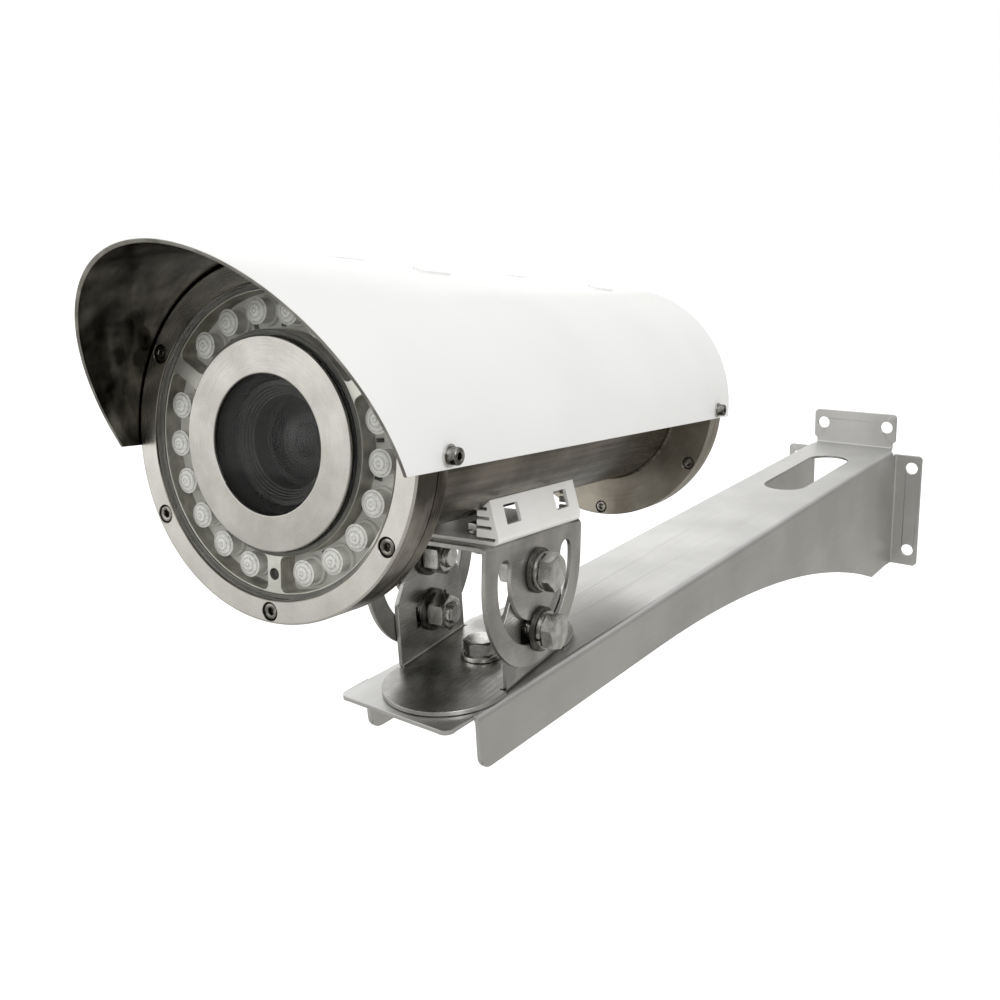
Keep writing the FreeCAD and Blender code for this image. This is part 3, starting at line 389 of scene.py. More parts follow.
def inside(points: Array, outline: Array) -> Array:
    """Which points lie inside a closed outline, by counting the sides that a ray to +X crosses."""
    a, b = outline, np.roll(outline, -1, axis=0)
    above = (a[None, :, 1] > points[:, None, 1]) != (b[None, :, 1] > points[:, None, 1])
    rise = np.where(np.abs(b[:, 1] - a[:, 1]) < 1e-12, 1e-12, b[:, 1] - a[:, 1])
    cross = a[None, :, 0] + (points[:, None, 1] - a[None, :, 1]) / rise * (b - a)[None, :, 0]
    return (above & (cross > points[:, None, 0])).sum(axis=1) % 2 == 1


def punched(outline: Array, holes: Sequence[Array]) -> tuple[Array, Array]:
    """Triangles of a flat sheet with holes.

    Args:
        outline: Outer edge.
        holes: Edges of the holes.

    Returns:
        Vertices and triangles.
    """
    loops = [outline, *holes]
    points = np.concatenate(loops)
    starts = np.cumsum([0] + [len(loop) for loop in loops])
    edges = [(int(s + k), int(s + (k + 1) % len(loop)))
             for s, loop in zip(starts, loops) for k in range(len(loop))]
    verts, _, faces, _, _, _ = delaunay_2d_cdt([tuple(p) for p in points], edges, [], 0, 1e-7)
    flat = np.array([tuple(v) for v in verts])
    triangles = np.array(faces)
    middle = flat[triangles].mean(axis=1)
    keep = inside(middle, outline)
    for hole in holes:
        keep &= ~inside(middle, hole)
    return flat, triangles[keep]


# Meshes

class Shell:
    """Collects surfaces and plates, and writes them as one mesh."""

    def __init__(self) -> None:
        """Start with nothing in it."""
        self.verts: list[Array] = []
        self.faces: list[list[int]] = []
        self.pattern: list[Array] = []
        self.finish: list[int] = []
        self.count = 0

    def add(self, item: Surface, place: Place | None = None) -> "Shell":
        """Add a grid: each cell of four neighbouring points is a face.

        Args:
            item: The surface.
            place: Where it goes, if not where it is.

        Returns:
            The shell itself.
        """
        if place is not None:
            item = item.moved(place)
        rows, columns = item.points.shape[:2]
        number = self.count + np.arange(rows * columns).reshape(rows, columns)
        quads = np.stack((number[:-1, :-1], number[:-1, 1:], number[1:, 1:], number[1:, :-1]), axis=2)
        quads = quads.reshape(-1, 4)
        flat = item.pattern.reshape(-1, 2)
        self.verts.append(item.points.reshape(-1, 3))
        self.faces += quads.tolist()
        self.pattern.append(flat[quads - self.count].reshape(-1, 2))
        self.finish += [item.finish] * len(quads)
        self.count += rows * columns
        return self

    def add_face(self, outline: Array, holes: Sequence[Array], height: float, finish: int = 0,
                 polar: bool = False) -> "Shell":
        """Add one flat face with holes at a height.

        Args:
            outline: Outer edge.
            holes: Edges of the holes.
            height: Height of the face.
            finish: Finish number.
            polar: Lay the pattern around the origin instead of straight.

        Returns:
            The shell itself.
        """
        flat, triangles = punched(outline, holes)
        corners = flat[triangles]
        if polar:
            angle = np.arctan2(corners[..., 1], corners[..., 0])
            angle = angle[:, :1] + np.mod(angle - angle[:, :1] + math.pi, 2 * math.pi) - math.pi
            radius = np.linalg.norm(corners, axis=2)
            corners = np.stack((angle * np.linalg.norm(outline, axis=1).mean(), radius), axis=2)
        self.verts.append(np.column_stack((flat, np.full(len(flat), height))))
        self.faces += (triangles + self.count).tolist()
        self.pattern.append(corners.reshape(-1, 2) * MM)
        self.finish += [finish] * len(triangles)
        self.count += len(flat)
        return self

    def add_plate(self, outline: Array, holes: Sequence[Array], low: float, high: float,
                  wall: int = 0) -> "Shell":
        """Add a flat plate with holes between two heights: two faces with a pattern laid around the
        origin, and for each edge a wall with its own finish number."""
        self.add_face(outline, holes, high, 0, True)
        self.add_face(outline, holes, low, 0, True)
        for loop in (outline, *holes):
            edge = np.concatenate((loop, loop[:1]))
            rows = np.stack([np.column_stack((edge, np.full(len(edge), h))) for h in (high, low)])
            self.add(surface(rows, wall))
        return self

    def piece(self, name: str, finishes: Sequence[bpy.types.Material], place: Place = IN_WORLD,
              bevel: float = 0.0, sharp: float = 34.0) -> bpy.types.Object:
        """Write the collected faces as one object at the world origin.

        Args:
            name: Name of the piece.
            finishes: Materials by finish number.
            place: Where the local millimetres stand.
            bevel: Width of the broken edges in millimetres, or 0.
            sharp: Edges that turn by more degrees than this stay crisp.

        Returns:
            The object.
        """
        mesh = bpy.data.meshes.new(name)
        verts = place.world(np.concatenate(self.verts))
        mesh.from_pydata(verts.tolist(), [], self.faces)
        layer = mesh.uv_layers.new(name="pattern")
        layer.data.foreach_set("uv", np.concatenate(self.pattern).astype(np.float32).ravel())
        mesh.polygons.foreach_set("material_index", np.array(self.finish, np.int32))
        for material in finishes:
            mesh.materials.append(material)
        tidy_mesh(mesh, sharp, 2e-6)
        item = bpy.data.objects.new(name, mesh)
        bpy.context.scene.collection.objects.link(item)
        soften_edges(item, bevel)
        return item


CORNER = math.radians(38)


def tidy_mesh(mesh: bpy.types.Mesh, sharp: float, reach: float) -> None:
    """Merge doubles, drop empty faces, turn faces outward and mark crisp edges.

    Args:
        mesh: The mesh.
        sharp: Edge angle in degrees above which shading breaks.
        reach: Merge distance in metres.
    """
    work = bmesh.new()
    work.from_mesh(mesh)
    bmesh.ops.remove_doubles(work, verts=work.verts, dist=reach)
    bmesh.ops.dissolve_degenerate(work, edges=work.edges, dist=reach / 4)
    bmesh.ops.recalc_face_normals(work, faces=work.faces)
    limit = math.radians(sharp)
    for edge in work.edges:
        edge.smooth = edge.is_manifold and edge.calc_face_angle(0.0) < limit
    for face in work.faces:
        face.smooth = True
    work.to_mesh(mesh)
    work.free()


def soften_edges(item: bpy.types.Object, bevel: float, chosen: bool = False) -> None:
    """Break the edges of a piece and even out its shading.

    Args:
        item: The object.
        bevel: Width in millimetres, or 0 for none.
        chosen: Break only the edges that carry a weight, instead of every corner.
    """
    if bevel > 0:
        cut = item.modifiers.new("broken_edges", "BEVEL")
        cut.width = bevel * MM
        cut.segments = 2
        cut.limit_method = "WEIGHT" if chosen else "ANGLE"
        cut.angle_limit = CORNER
        cut.use_clamp_overlap = False
        cut.miter_outer = "MITER_ARC"
    even = item.modifiers.new("even_shading", "WEIGHTED_NORMAL")
    even.keep_sharp = True
    even.weight = 60


def sheet_copy(node: str, name: str, finishes: Sequence[bpy.types.Material], place: Place, grain: Grain,
               bevel: float = 0.3, shortest: float = 0.0) -> bpy.types.Object:
    """Copy of a folded or cut node with merged faces, a pattern along its grain and broken edges.

    Args:
        node: The node of the frame.
        name: Name of the new piece.
        finishes: Materials of the piece.
        place: The frame in which the sheet is square.
        grain: Axis of that frame that the polishing lines follow.
        bevel: Width of the broken edges in millimetres.
        shortest: Corner edges shorter than this many millimetres are left as they are.

    Returns:
        The object.
    """
    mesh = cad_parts[node].data.copy()
    mesh.name = name
    mesh.materials.clear()
    for material in finishes:
        mesh.materials.append(material)
    work = bmesh.new()
    work.from_mesh(mesh)
    bmesh.ops.remove_doubles(work, verts=work.verts, dist=4e-6)
    broken = work.edges.layers.float.new("bevel_weight_edge")
    for edge in work.edges:
        turn = edge.calc_face_angle(0.0)
        edge.smooth = edge.is_manifold and turn < math.radians(30)
        edge[broken] = float(turn > CORNER and edge.calc_length() > shortest * MM)
    for face in work.faces:
        face.smooth = True
        face.material_index = 0
    work.to_mesh(mesh)
    work.free()
    co = np.empty(len(mesh.vertices) * 3)
    mesh.vertices.foreach_get("co", co)
    local = (co.reshape(-1, 3) - place.origin * MM) @ place.turn
    normals = np.empty(len(mesh.polygons) * 3)
    mesh.polygons.foreach_get("normal", normals)
    facing = np.abs(normals.reshape(-1, 3) @ place.turn).argmax(axis=1)
    sizes = np.empty(len(mesh.polygons), np.int32)
    mesh.polygons.foreach_get("loop_total", sizes)
    corners = np.empty(len(mesh.loops), np.int32)
    mesh.loops.foreach_get("vertex_index", corners)
    facing = np.repeat(facing, sizes)
    first = np.where(facing == grain.value, (grain.value + 1) % 3, grain.value)
    second = 3 - facing - first
    row = np.arange(len(corners))
    spots = local[corners]
    layer = mesh.uv_layers.new(name="pattern")
    pattern = np.stack((spots[row, first], spots[row, second]), axis=1)
    layer.data.foreach_set("uv", pattern.astype(np.float32).ravel())
    item = bpy.data.objects.new(name, mesh)
    bpy.context.scene.collection.objects.link(item)
    soften_edges(item, bevel, True)
    return item


def seat(item: bpy.types.Object, body: Body, slot: str, *nodes: str) -> bpy.types.Object:
    """Let a piece ride on a body and stand for nodes of the frame.

    Args:
        item: The piece.
        body: The body that it rides on.
        slot: Name of a material slot; not used.
        nodes: Nodes that it stands for.

    Returns:
        The piece.
    """
    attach(item, body.value)
    if nodes:
        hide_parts(*nodes)
    log.info("%s rides on %s for %s", item.name, body.value, ", ".join(nodes) or "nothing")
    return item


# Finishes

def linear(colour: str) -> tuple[float, float, float, float]:
    """Linear colour of an sRGB hex value such as "#c8c4ba"."""
    parts = np.array([int(colour[k:k + 2], 16) / 255 for k in (1, 3, 5)])
    parts = np.where(parts <= 0.04045, parts / 12.92, ((parts + 0.055) / 1.055) ** 2.4)
    return (float(parts[0]), float(parts[1]), float(parts[2]), 1.0)


def add_node(tree: bpy.types.NodeTree, kind: str, settings: dict[str, Any] | None = None,
             feeds: dict[str | int, Any] | None = None) -> bpy.types.Node:
    """Add a shader node with its settings, constants and links.

    Args:
        tree: The node tree.
        kind: Node type.
        settings: Properties of the node.
        feeds: Input by name or number, to a value or to another node's output.

    Returns:
        The node.
    """
    node = tree.nodes.new(kind)
    for key, value in (settings or {}).items():
        setattr(node, key, value)
    for key, value in (feeds or {}).items():
        if isinstance(value, bpy.types.NodeSocket):
            tree.links.new(value, node.inputs[key])
        else:
            node.inputs[key].default_value = value
    return node


def new_material(name: str) -> tuple[bpy.types.Material, bpy.types.NodeTree]:
    """An empty node material with only its output."""
    material = bpy.data.materials.new(name)
    material.use_nodes = True
    material.node_tree.nodes.clear()
    return material, material.node_tree


def finish_with(tree: bpy.types.NodeTree, feeds: dict[str | int, Any]) -> bpy.types.Node:
    """End a material with one surface shader.

    Args:
        tree: The node tree.
        feeds: Inputs of the surface shader.

    Returns:
        The shader node.
    """
    shader = add_node(tree, "ShaderNodeBsdfPrincipled", feeds=feeds)
    add_node(tree, "ShaderNodeOutputMaterial", feeds={"Surface": shader.outputs[0]})
    return shader


def noise(tree: bpy.types.NodeTree, where: bpy.types.NodeSocket, size: Sequence[float], detail: float = 3.0,
          rough: float = 0.55) -> bpy.types.NodeSocket:
    """Noise whose blotches have a real size in millimetres along each axis.

    Args:
        tree: The node tree.
        where: Coordinates in metres.
        size: Blotch size along each axis.
        detail: Octaves.
        rough: Share of the finer octaves.

    Returns:
        The value output.
    """
    scale = [1 / (s * MM) for s in size]
    spot = add_node(tree, "ShaderNodeMapping", feeds={"Vector": where, "Scale": scale})
    field = add_node(tree, "ShaderNodeTexNoise", feeds={
        "Vector": spot.outputs[0], "Scale": 1.0, "Detail": detail, "Roughness": rough})
    return field.outputs[0]


def ranged(tree: bpy.types.NodeTree, value: bpy.types.NodeSocket, source: tuple[float, float],
           target: tuple[float, float]) -> bpy.types.NodeSocket:
    """Value carried from one range to another and held at the ends."""
    node = add_node(tree, "ShaderNodeMapRange", feeds={
        "Value": value, "From Min": source[0], "From Max": source[1], "To Min": target[0],
        "To Max": target[1]})
    return node.outputs[0]


def blended(tree: bpy.types.NodeTree, share: Any, first: Any, second: Any) -> bpy.types.NodeSocket:
    """Colour between two colours."""
    node = add_node(tree, "ShaderNodeMix", {"data_type": "RGBA"}, {0: share, 6: first, 7: second})
    return node.outputs[2]


@dataclass(frozen=True)
class Steel:
    """Stainless steel, cold rolled and polished with a belt: fine parallel lines over broad soft
    clouds, so highlights stretch across the lines and the tone drifts slowly."""

    name: str
    light: str
    dark: str
    roughness: float = 0.3
    line_mm: tuple[float, float] = (30.0, 0.35)
    cloud_mm: float = 30.0
    cloud: float = 0.7
    lines: float = 0.3
    bump: float = 0.1
    metal: float = 1.0

    def make(self) -> bpy.types.Material:
        """Build the material: metal with a colour between light and dark by clouds and lines."""
        material, tree = new_material(self.name)
        place = add_node(tree, "ShaderNodeTexCoord")
        streak = noise(tree, place.outputs["UV"], (*self.line_mm, 1000.0), 4.0, 0.6)
        mist = noise(tree, place.outputs["Object"], (self.cloud_mm,) * 3, 3.0, 0.5)
        drift = ranged(tree, mist, (0.35, 0.65), (0.0, self.cloud))
        fine = ranged(tree, streak, (0.3, 0.7), (0.0, self.lines))
        share = add_node(tree, "ShaderNodeMath", {"operation": "ADD", "use_clamp": True},
                         {0: drift, 1: fine})
        tone = blended(tree, share.outputs[0], linear(self.light), linear(self.dark))
        gloss = ranged(tree, streak, (0.3, 0.7), (self.roughness - 0.05, self.roughness + 0.08))
        relief = add_node(tree, "ShaderNodeBump", feeds={
            "Strength": self.bump, "Distance": 0.02 * MM, "Height": streak})
        finish_with(tree, {"Base Color": tone, "Metallic": self.metal, "Roughness": gloss,
                           "Normal": relief.outputs[0]})
        return material


@dataclass(frozen=True)
class PowderCoat:
    """Sheet metal with a baked powder coat: an even half gloss colour with very slight orange peel."""

    name: str
    colour: str
    shade: str
    roughness: float = 0.22
    peel_mm: float = 1.6

    def make(self) -> bpy.types.Material:
        """Build the material: paint with a faint tone drift and orange peel."""
        material, tree = new_material(self.name)
        place = add_node(tree, "ShaderNodeTexCoord")
        drift = noise(tree, place.outputs["Object"], (60.0,) * 3, 2.0)
        peel = noise(tree, place.outputs["Object"], (self.peel_mm,) * 3, 2.0)
        tone = blended(tree, ranged(tree, drift, (0.3, 0.7), (0, 1)), linear(self.colour), linear(self.shade))
        relief = add_node(tree, "ShaderNodeBump", feeds={
            "Strength": 0.12, "Distance": 0.03 * MM, "Height": peel})
        gloss = ranged(tree, peel, (0.3, 0.7), (self.roughness - 0.03, self.roughness + 0.04))
        finish_with(tree, {"Base Color": tone, "Roughness": gloss, "Normal": relief.outputs[0],
                           "Specular IOR Level": 0.25})
        return material


@dataclass(frozen=True)
class Moulded:
    """Moulded plastic or rubber: one colour with a fine grain from the mould and soft sheen."""

    name: str
    colour: str
    shade: str
    roughness: float = 0.5
    grain_mm: float = 0.6
    depth_mm: float = 0.03
    coat: float = 0.0

    def make(self) -> bpy.types.Material:
        """Build the material: colour drift, grain in the gloss and a fine bump."""
        material, tree = new_material(self.name)
        place = add_node(tree, "ShaderNodeTexCoord")
        drift = noise(tree, place.outputs["Object"], (14.0,) * 3, 3.0)
        grain = noise(tree, place.outputs["Object"], (self.grain_mm,) * 3, 2.0)
        tone = blended(tree, ranged(tree, drift, (0.3, 0.7), (0, 1)), linear(self.colour), linear(self.shade))
        relief = add_node(tree, "ShaderNodeBump", feeds={
            "Strength": 0.3, "Distance": self.depth_mm * MM, "Height": grain})
        gloss = ranged(tree, grain, (0.3, 0.7), (self.roughness - 0.06, self.roughness + 0.08))
        finish_with(tree, {"Base Color": tone, "Roughness": gloss, "Normal": relief.outputs[0],
                           "Coat Weight": self.coat, "Coat Roughness": 0.08})
        return material


@dataclass(frozen=True)
class Pane:
    """Toughened glass with an anti-reflection coat: clear, and its mirror gloss is that of a much lower
    index than plain glass has, growing towards grazing angles."""

    name: str
    tint: str
    film: float = 0.006
    index: float = 1.18

    def make(self) -> bpy.types.Material:
        """Build the material: refracting to the eye, with a film of dust in its gloss; lamp light and
        bounced light pass straight through it."""
        material, tree = new_material(self.name)
        place = add_node(tree, "ShaderNodeTexCoord")
        dust = noise(tree, place.outputs["Object"], (9.0,) * 3, 4.0, 0.7)
        path = add_node(tree, "ShaderNodeLightPath")
        passing = add_node(tree, "ShaderNodeMath", {"operation": "MAXIMUM"}, {
            0: path.outputs["Is Shadow Ray"], 1: path.outputs["Is Diffuse Ray"]})
        solid = ranged(tree, passing.outputs[0], (0.0, 1.0), (1.0, self.film))
        gloss = ranged(tree, dust, (0.4, 0.7), (0.0, 0.04))
        veil = ranged(tree, dust, (0.4, 0.8), (1.0, 1.0 - self.film))
        finish_with(tree, {"Base Color": linear(self.tint), "Roughness": gloss,
                           "IOR": self.index, "Transmission Weight": veil, "Alpha": solid})
        return material


@dataclass(frozen=True)
class LampPlastic:
    """Optical grade moulded plastic of a lamp lens: milky, with moulded rings around a bright core."""

    name: str
    colour: str
    shade: str
    ring_mm: float = 1.9
    speck_mm: float = 1.1

    def make(self) -> bpy.types.Material:
        """Build the material: rings by the distance from the lens's middle, broken by soft specks."""
        material, tree = new_material(self.name)
        place = add_node(tree, "ShaderNodeTexCoord")
        parts = add_node(tree, "ShaderNodeSeparateXYZ", feeds={0: place.outputs["UV"]})
        turns = add_node(tree, "ShaderNodeMath", {"operation": "MULTIPLY"}, {
            0: parts.outputs[1], 1: 2 * math.pi / (self.ring_mm * MM)})
        wave = add_node(tree, "ShaderNodeMath", {"operation": "COSINE"}, {0: turns.outputs[0]})
        rings = ranged(tree, wave.outputs[0], (-0.2, -1.0), (0.0, 0.7))
        specks = ranged(tree, noise(tree, place.outputs["Object"], (self.speck_mm,) * 3, 2.0),
                        (0.45, 0.7), (0.0, 0.5))
        share = add_node(tree, "ShaderNodeMath", {"operation": "ADD", "use_clamp": True},
                         {0: rings, 1: specks})
        tone = blended(tree, share.outputs[0], linear(self.colour), linear(self.shade))
        relief = add_node(tree, "ShaderNodeBump", feeds={
            "Strength": 0.5, "Distance": 0.08 * MM, "Height": wave.outputs[0]})
        finish_with(tree, {"Base Color": tone, "Roughness": 0.12, "IOR": 1.49,
                           "Transmission Weight": 0.12, "Normal": relief.outputs[0],
                           "Coat Weight": 0.6, "Coat Roughness": 0.04})
        return material


class Finishes:
    """Every finish of the housing, built once."""

    def __init__(self) -> None:
        """Build the materials by name of their use."""
        self.arm = Steel("satin_rolled_stainless_arm", "#dadad8", "#c6c6c4", 0.4, (60.0, 0.3), 60.0,
                         0.7, 0.35).make()
        self.swivel = Steel("polished_stainless_swivel", "#d8d8d5", "#9c9b99", 0.28, (50.0, 0.5), 26.0,
                            0.9, 0.3).make()
        self.yoke = Steel("smoky_rolled_stainless_yoke", "#cfcecb", "#a3a29f", 0.38, (40.0, 0.4), 20.0,
                          0.7, 0.4).make()
        # Near-white colour at a metal share of 0.15: the polished cradle's bright reflection is painted into a
        # mostly matt colour.
        self.cradle = Steel("near_white_cradle_painted_reflection", "#fffefa", "#f6f4ee", 0.36, (25.0, 0.4),
                            25.0, 0.6, 0.1, 0.03, 0.15).make()
        self.face = Steel("fine_turned_stainless_face", "#dad8d3", "#c6c4be", 0.25, (14.0, 0.3), 16.0,
                          0.7, 0.3).make()
        # Darker copy of the face finish for the ring round the lens opening: painted shade; the ring is the same
        # turned steel as the face.
        self.shaded_lens_ring = Steel("lens_ring_painted_shade", "#c6c4bf", "#adaba5", 0.25, (14.0, 0.3),
                               16.0, 0.7, 0.3).make()
        # The strong contrast from light to very dark in this tone is painted reflection: light streaks and dark
        # patches stand in for the room reflected around the turned side.
        self.side = Steel("turned_stainless_side_painted_reflections", "#b0aba2", "#48433b", 0.25, (90.0, 0.35), 24.0,
                          0.85, 0.35).make()
        # Painted reflections: dark brownish tones and light streaks, 8 mm around and 260 mm along the tube, stand
        # in for the room reflected along it.
        self.tube = Steel("stainless_tube_painted_reflections", "#989186", "#4a453c", 0.26, (8.0, 260.0), 40.0,
                          0.5, 0.8).make()
        self.rear = Steel("turned_stainless_rear_ring", "#b9b3a7", "#857f73", 0.35, (60.0, 0.35), 30.0,
                          0.8, 0.3).make()
        self.hardware = Steel("cold_formed_stainless_bolts", "#e9e9e6", "#b3b2ae", 0.22, (3.0, 1.6), 6.0,
                              0.7, 0.3, 0.15).make()
        # Darker colours than the other hardware: painted shade and dark reflection on the cap screws; their low
        # roughness is real polish.
        self.screws = Steel("polished_cap_screws_painted_shade", "#bfbdb8", "#5f5c57", 0.15, (3.0, 1.6), 5.0,
                            0.9, 0.5, 0.3).make()
        self.dark_ring = Steel("dull_stainless_washers", "#8f8d89", "#4a4845", 0.4, (10.0, 0.5), 6.0,
                               0.7, 0.4).make()
        self.nickel = Steel("nickel_plated_brass_glands", "#c4bfb2", "#918b7d", 0.24, (40.0, 0.4), 9.0,
                            0.6, 0.3).make()
        self.tray = Steel("mill_aluminium_tray", "#b9bbbd", "#9a9c9e", 0.4, (40.0, 0.4), 20.0, 0.6,
                          0.3).make()
        self.shield = PowderCoat("half_gloss_white_powder_coat", "#f1f1ef", "#ededeb").make()
        # Dark colours of the shield's inner side: painted shade and dark reflection under the hood; its low
        # roughness is real polish.
        self.shaded_lining = Steel("shield_lining_painted_shade", "#7c7971", "#2d2b27", 0.17, (60.0, 6.0), 16.0,
                            0.8, 0.6, 0.25).make()
        self.cut_edge = Steel("sheared_stainless_edge", "#b8b6b0", "#7a7872", 0.35, (4.0, 0.6), 8.0).make()
        self.white_plastic = Moulded("moulded_white_nylon_plugs", "#fbfbfa", "#f3f3f1", 0.3, 0.9,
                                     0.02, 0.4).make()
        self.rubber = Moulded("black_rubber_seal", "#1c1b1a", "#262524", 0.65, 0.5, 0.05).make()
        self.silicone = Moulded("grey_silicone_window_seal", "#73716c", "#5d5b57", 0.45, 1.0, 0.0).make()
        # Grey of the ring on the lamp frame's inner land: painted shade for the shade on that land; the ring also
        # stops lamp light.
        self.light_stop_shade = Moulded("grey_light_stop_painted_shade", "#6c6a63", "#54524c", 0.5, 0.9, 0.03).make()
        self.black = Moulded("matt_black_lens_housing", "#232220", "#171614", 0.42, 0.5, 0.02).make()
        self.lamp_frame = Steel("milled_satin_lamp_frame", "#f2efe8", "#d2cfc7", 0.38, (6.0, 0.6), 20.0,
                                0.6, 0.3).make()
        # Darker, rougher copy of the lamp frame's finish for the plate's edge walls: painted shade for the shade
        # that falls in the deep lamp pockets.
        self.pocket_wall_shade = Steel("pocket_wall_painted_shade", "#ccc9c0", "#9c998f", 0.5, (12.0, 1.0),
                                 6.0).make()
        self.board = Moulded("pale_lamp_board", "#efede5", "#cdcbc2", 0.4, 1.2, 0.04, 0.2).make()
        self.green = Moulded("green_circuit_board", "#1f5a3c", "#184a31", 0.4, 0.8, 0.03).make()
        self.chip = Moulded("black_epoxy_parts", "#2b2a28", "#1e1d1b", 0.4, 0.4, 0.02).make()
        self.holder = Moulded("translucent_lamp_holder", "#e6e4dc", "#c6c4bb", 0.3, 0.8, 0.03, 0.5).make()
        self.lamp = LampPlastic("milky_optical_lamp_lens", "#f3f1ea", "#b4b2aa").make()
        self.glass = Pane("clear_toughened_window", "#f4f6f5").make()
        self.front_glass = Pane("coated_front_lens_glass", "#b4b4b4", 0.004, 1.3).make()
        self.iris = Moulded("ribbed_matt_black_iris", "#1a1917", "#121110", 0.3, 0.5, 0.01, 0.3).make()
        self.optic = Moulded("coated_optical_glass", "#161617", "#0e0e0f", 0.08, 30.0, 0.0, 1.0).make()


# Fasteners

@dataclass(frozen=True)
class Thread:
    """One size of bolt, nut and washer."""

    diameter: float
    pitch: float
    flats: float
    head: float
    nut: float
    washer: float
    washer_t: float


M12 = Thread(12.0, 1.75, 18.0, 7.5, 10.8, 24.0, 2.5)
M6 = Thread(6.0, 1.0, 10.0, 4.0, 5.0, 12.0, 1.6)


@dataclass(frozen=True)
class CapScrew:
    """Socket cap screw."""

    diameter: float = 4.0
    head_d: float = 7.0
    head: float = 4.0
    key: float = 3.0
    length: float = 11.0

    def add_to(self, shell: Shell, place: Place) -> None:
        """Add the head and the shank at a place whose +Z points out of the head."""
        shank = rounded([(0, -self.length, 0), (self.diameter / 2 - 0.05, -self.length, 0.5),
                         (self.diameter / 2 - 0.05, 0.5, 0), (0, 0.5, 0)], 3)
        shell.add(socket_head(self.head_d, self.head, self.key), place)
        shell.add(lathe(shank, 24), place)


def add_bolt(shell: Shell, size: Thread, place: Place, grip: float) -> None:
    """Add a hexagon bolt whose head sits at a place and whose tail reaches back by the grip.

    Args:
        shell: The shell that takes it.
        size: The bolt's size.
        place: Seat of the head, with +Z out of the head.
        grip: Length under the head.
    """
    shell.add(hex_head(size.flats, size.head, 0.5), place)
    back = Place(place.turn @ turn_about(Grain.X, 180), place.origin)
    shell.add(thread(size.diameter - 0.1, size.pitch, -0.8, grip), back)


# Assemblies

@dataclass(frozen=True)
class WallArm:
    """Folded wall arm with its three wall flanges."""

    edge: float = 0.35
    shortest: float = 0.8

    def build(self, look: Finishes) -> list[bpy.types.Object]:
        """Make the arm and return its pieces."""
        arm = sheet_copy("wall_arm", "arm_sheet", [look.arm], ON_ARM, Grain.Y, self.edge, self.shortest)
        return [seat(arm, Body.BRACKET, "stainless_arm", "wall_arm")]


@dataclass(frozen=True)
class PanJoint:
    """Centre bolt of the pan joint."""

    size: Thread = M12
    sheet: float = 2.5
    washer_seat: float = 3.1
    tail: float = 18.8

    def build(self, look: Finishes) -> list[bpy.types.Object]:
        """Make the bolt, its nut and its washers, and return them."""
        size = self.size
        head_seat = self.washer_seat + size.washer_t
        bolt = Shell()
        add_bolt(bolt, size, ON_ARM.at((0, PAN_Y, head_seat)), self.tail + head_seat)
        under = ON_ARM.at((0, PAN_Y, -self.sheet), (0, 0, -1))
        nut = Shell().add(hex_nut(size), ON_ARM.at((0, PAN_Y, -self.sheet - size.washer_t), (0, 0, -1)))
        rings = Shell()
        for spot in (ON_ARM.at((0, PAN_Y, self.washer_seat)), under):
            rings.add(flat_ring(size.washer / 2, size.diameter / 2 + 0.1, size.washer_t), spot)
        return [
            seat(bolt.piece("pan_bolt_part", [look.hardware]), Body.BRACKET, "stainless_hardware", "pan_bolt"),
            seat(nut.piece("pan_nut_part", [look.hardware]), Body.BRACKET, "stainless_hardware", "pan_nut"),
            seat(rings.piece("pan_washer_pair", [look.hardware]), Body.BRACKET, "stainless_hardware",
                 "pan_washers")]


@dataclass(frozen=True)
class SwivelBracket:
    """Round-ended base plate with two ears, and the four bolts of the tilt joint."""

    size: Thread = M12
    edge: float = 0.35
    outer_face: float = 37.3
    inner_face: float = 31.7
    heights: tuple[tuple[float, float], ...] = ((58.0, 12.0), (25.0, 40.0))
    lock_d: float = 20.5
    lock_t: float = 2.5
    tail_x: float = 15.4

    def build(self, look: Finishes) -> list[bpy.types.Object]:
        """Make the bracket, bolts, nuts and washers, and return them."""
        size = self.size
        sheet = sheet_copy("swivel_bracket", "swivel_sheet", [look.swivel], ON_SWIVEL, Grain.Y, self.edge)
        bolts, nuts, plain, locks = Shell(), Shell(), Shell(), Shell()
        for side in (-1, 1):
            for height, spin in self.heights:
                out, back = (side, 0, 0), (-side, 0, 0)
                face = self.outer_face
                plain.add(flat_ring(size.washer / 2, 6.1, size.washer_t),
                          ON_SWIVEL.at((side * face, 0, height), out))
                face += size.washer_t
                locks.add(spring_ring(self.lock_d / 2, 6.1, self.lock_t),
                          ON_SWIVEL.at((side * face, 0, height), out, 70 * spin))
                face += self.lock_t
                add_bolt(bolts, size, ON_SWIVEL.at((side * face, 0, height), out, spin), face - self.tail_x)
                face = self.inner_face
                plain.add(flat_ring(size.washer / 2, 6.1, size.washer_t),
                          ON_SWIVEL.at((side * face, 0, height), back))
                face -= size.washer_t
                nuts.add(hex_nut(size), ON_SWIVEL.at((side * face, 0, height), back, 25))
        hard = "stainless_hardware"
        return [
            seat(sheet, Body.SWIVEL, "stainless_swivel", "swivel_bracket"),
            seat(bolts.piece("tilt_bolt_set", [look.hardware]), Body.SWIVEL, hard, "tilt_bolts"),
            seat(nuts.piece("tilt_nut_set", [look.hardware]), Body.SWIVEL, hard, "tilt_nuts"),
            seat(plain.piece("tilt_washer_set", [look.dark_ring]), Body.SWIVEL, "dark_washer", "tilt_washers"),
            seat(locks.piece("tilt_lock_washer_set", [look.hardware]), Body.SWIVEL, hard,
                 "tilt_lock_washers")]


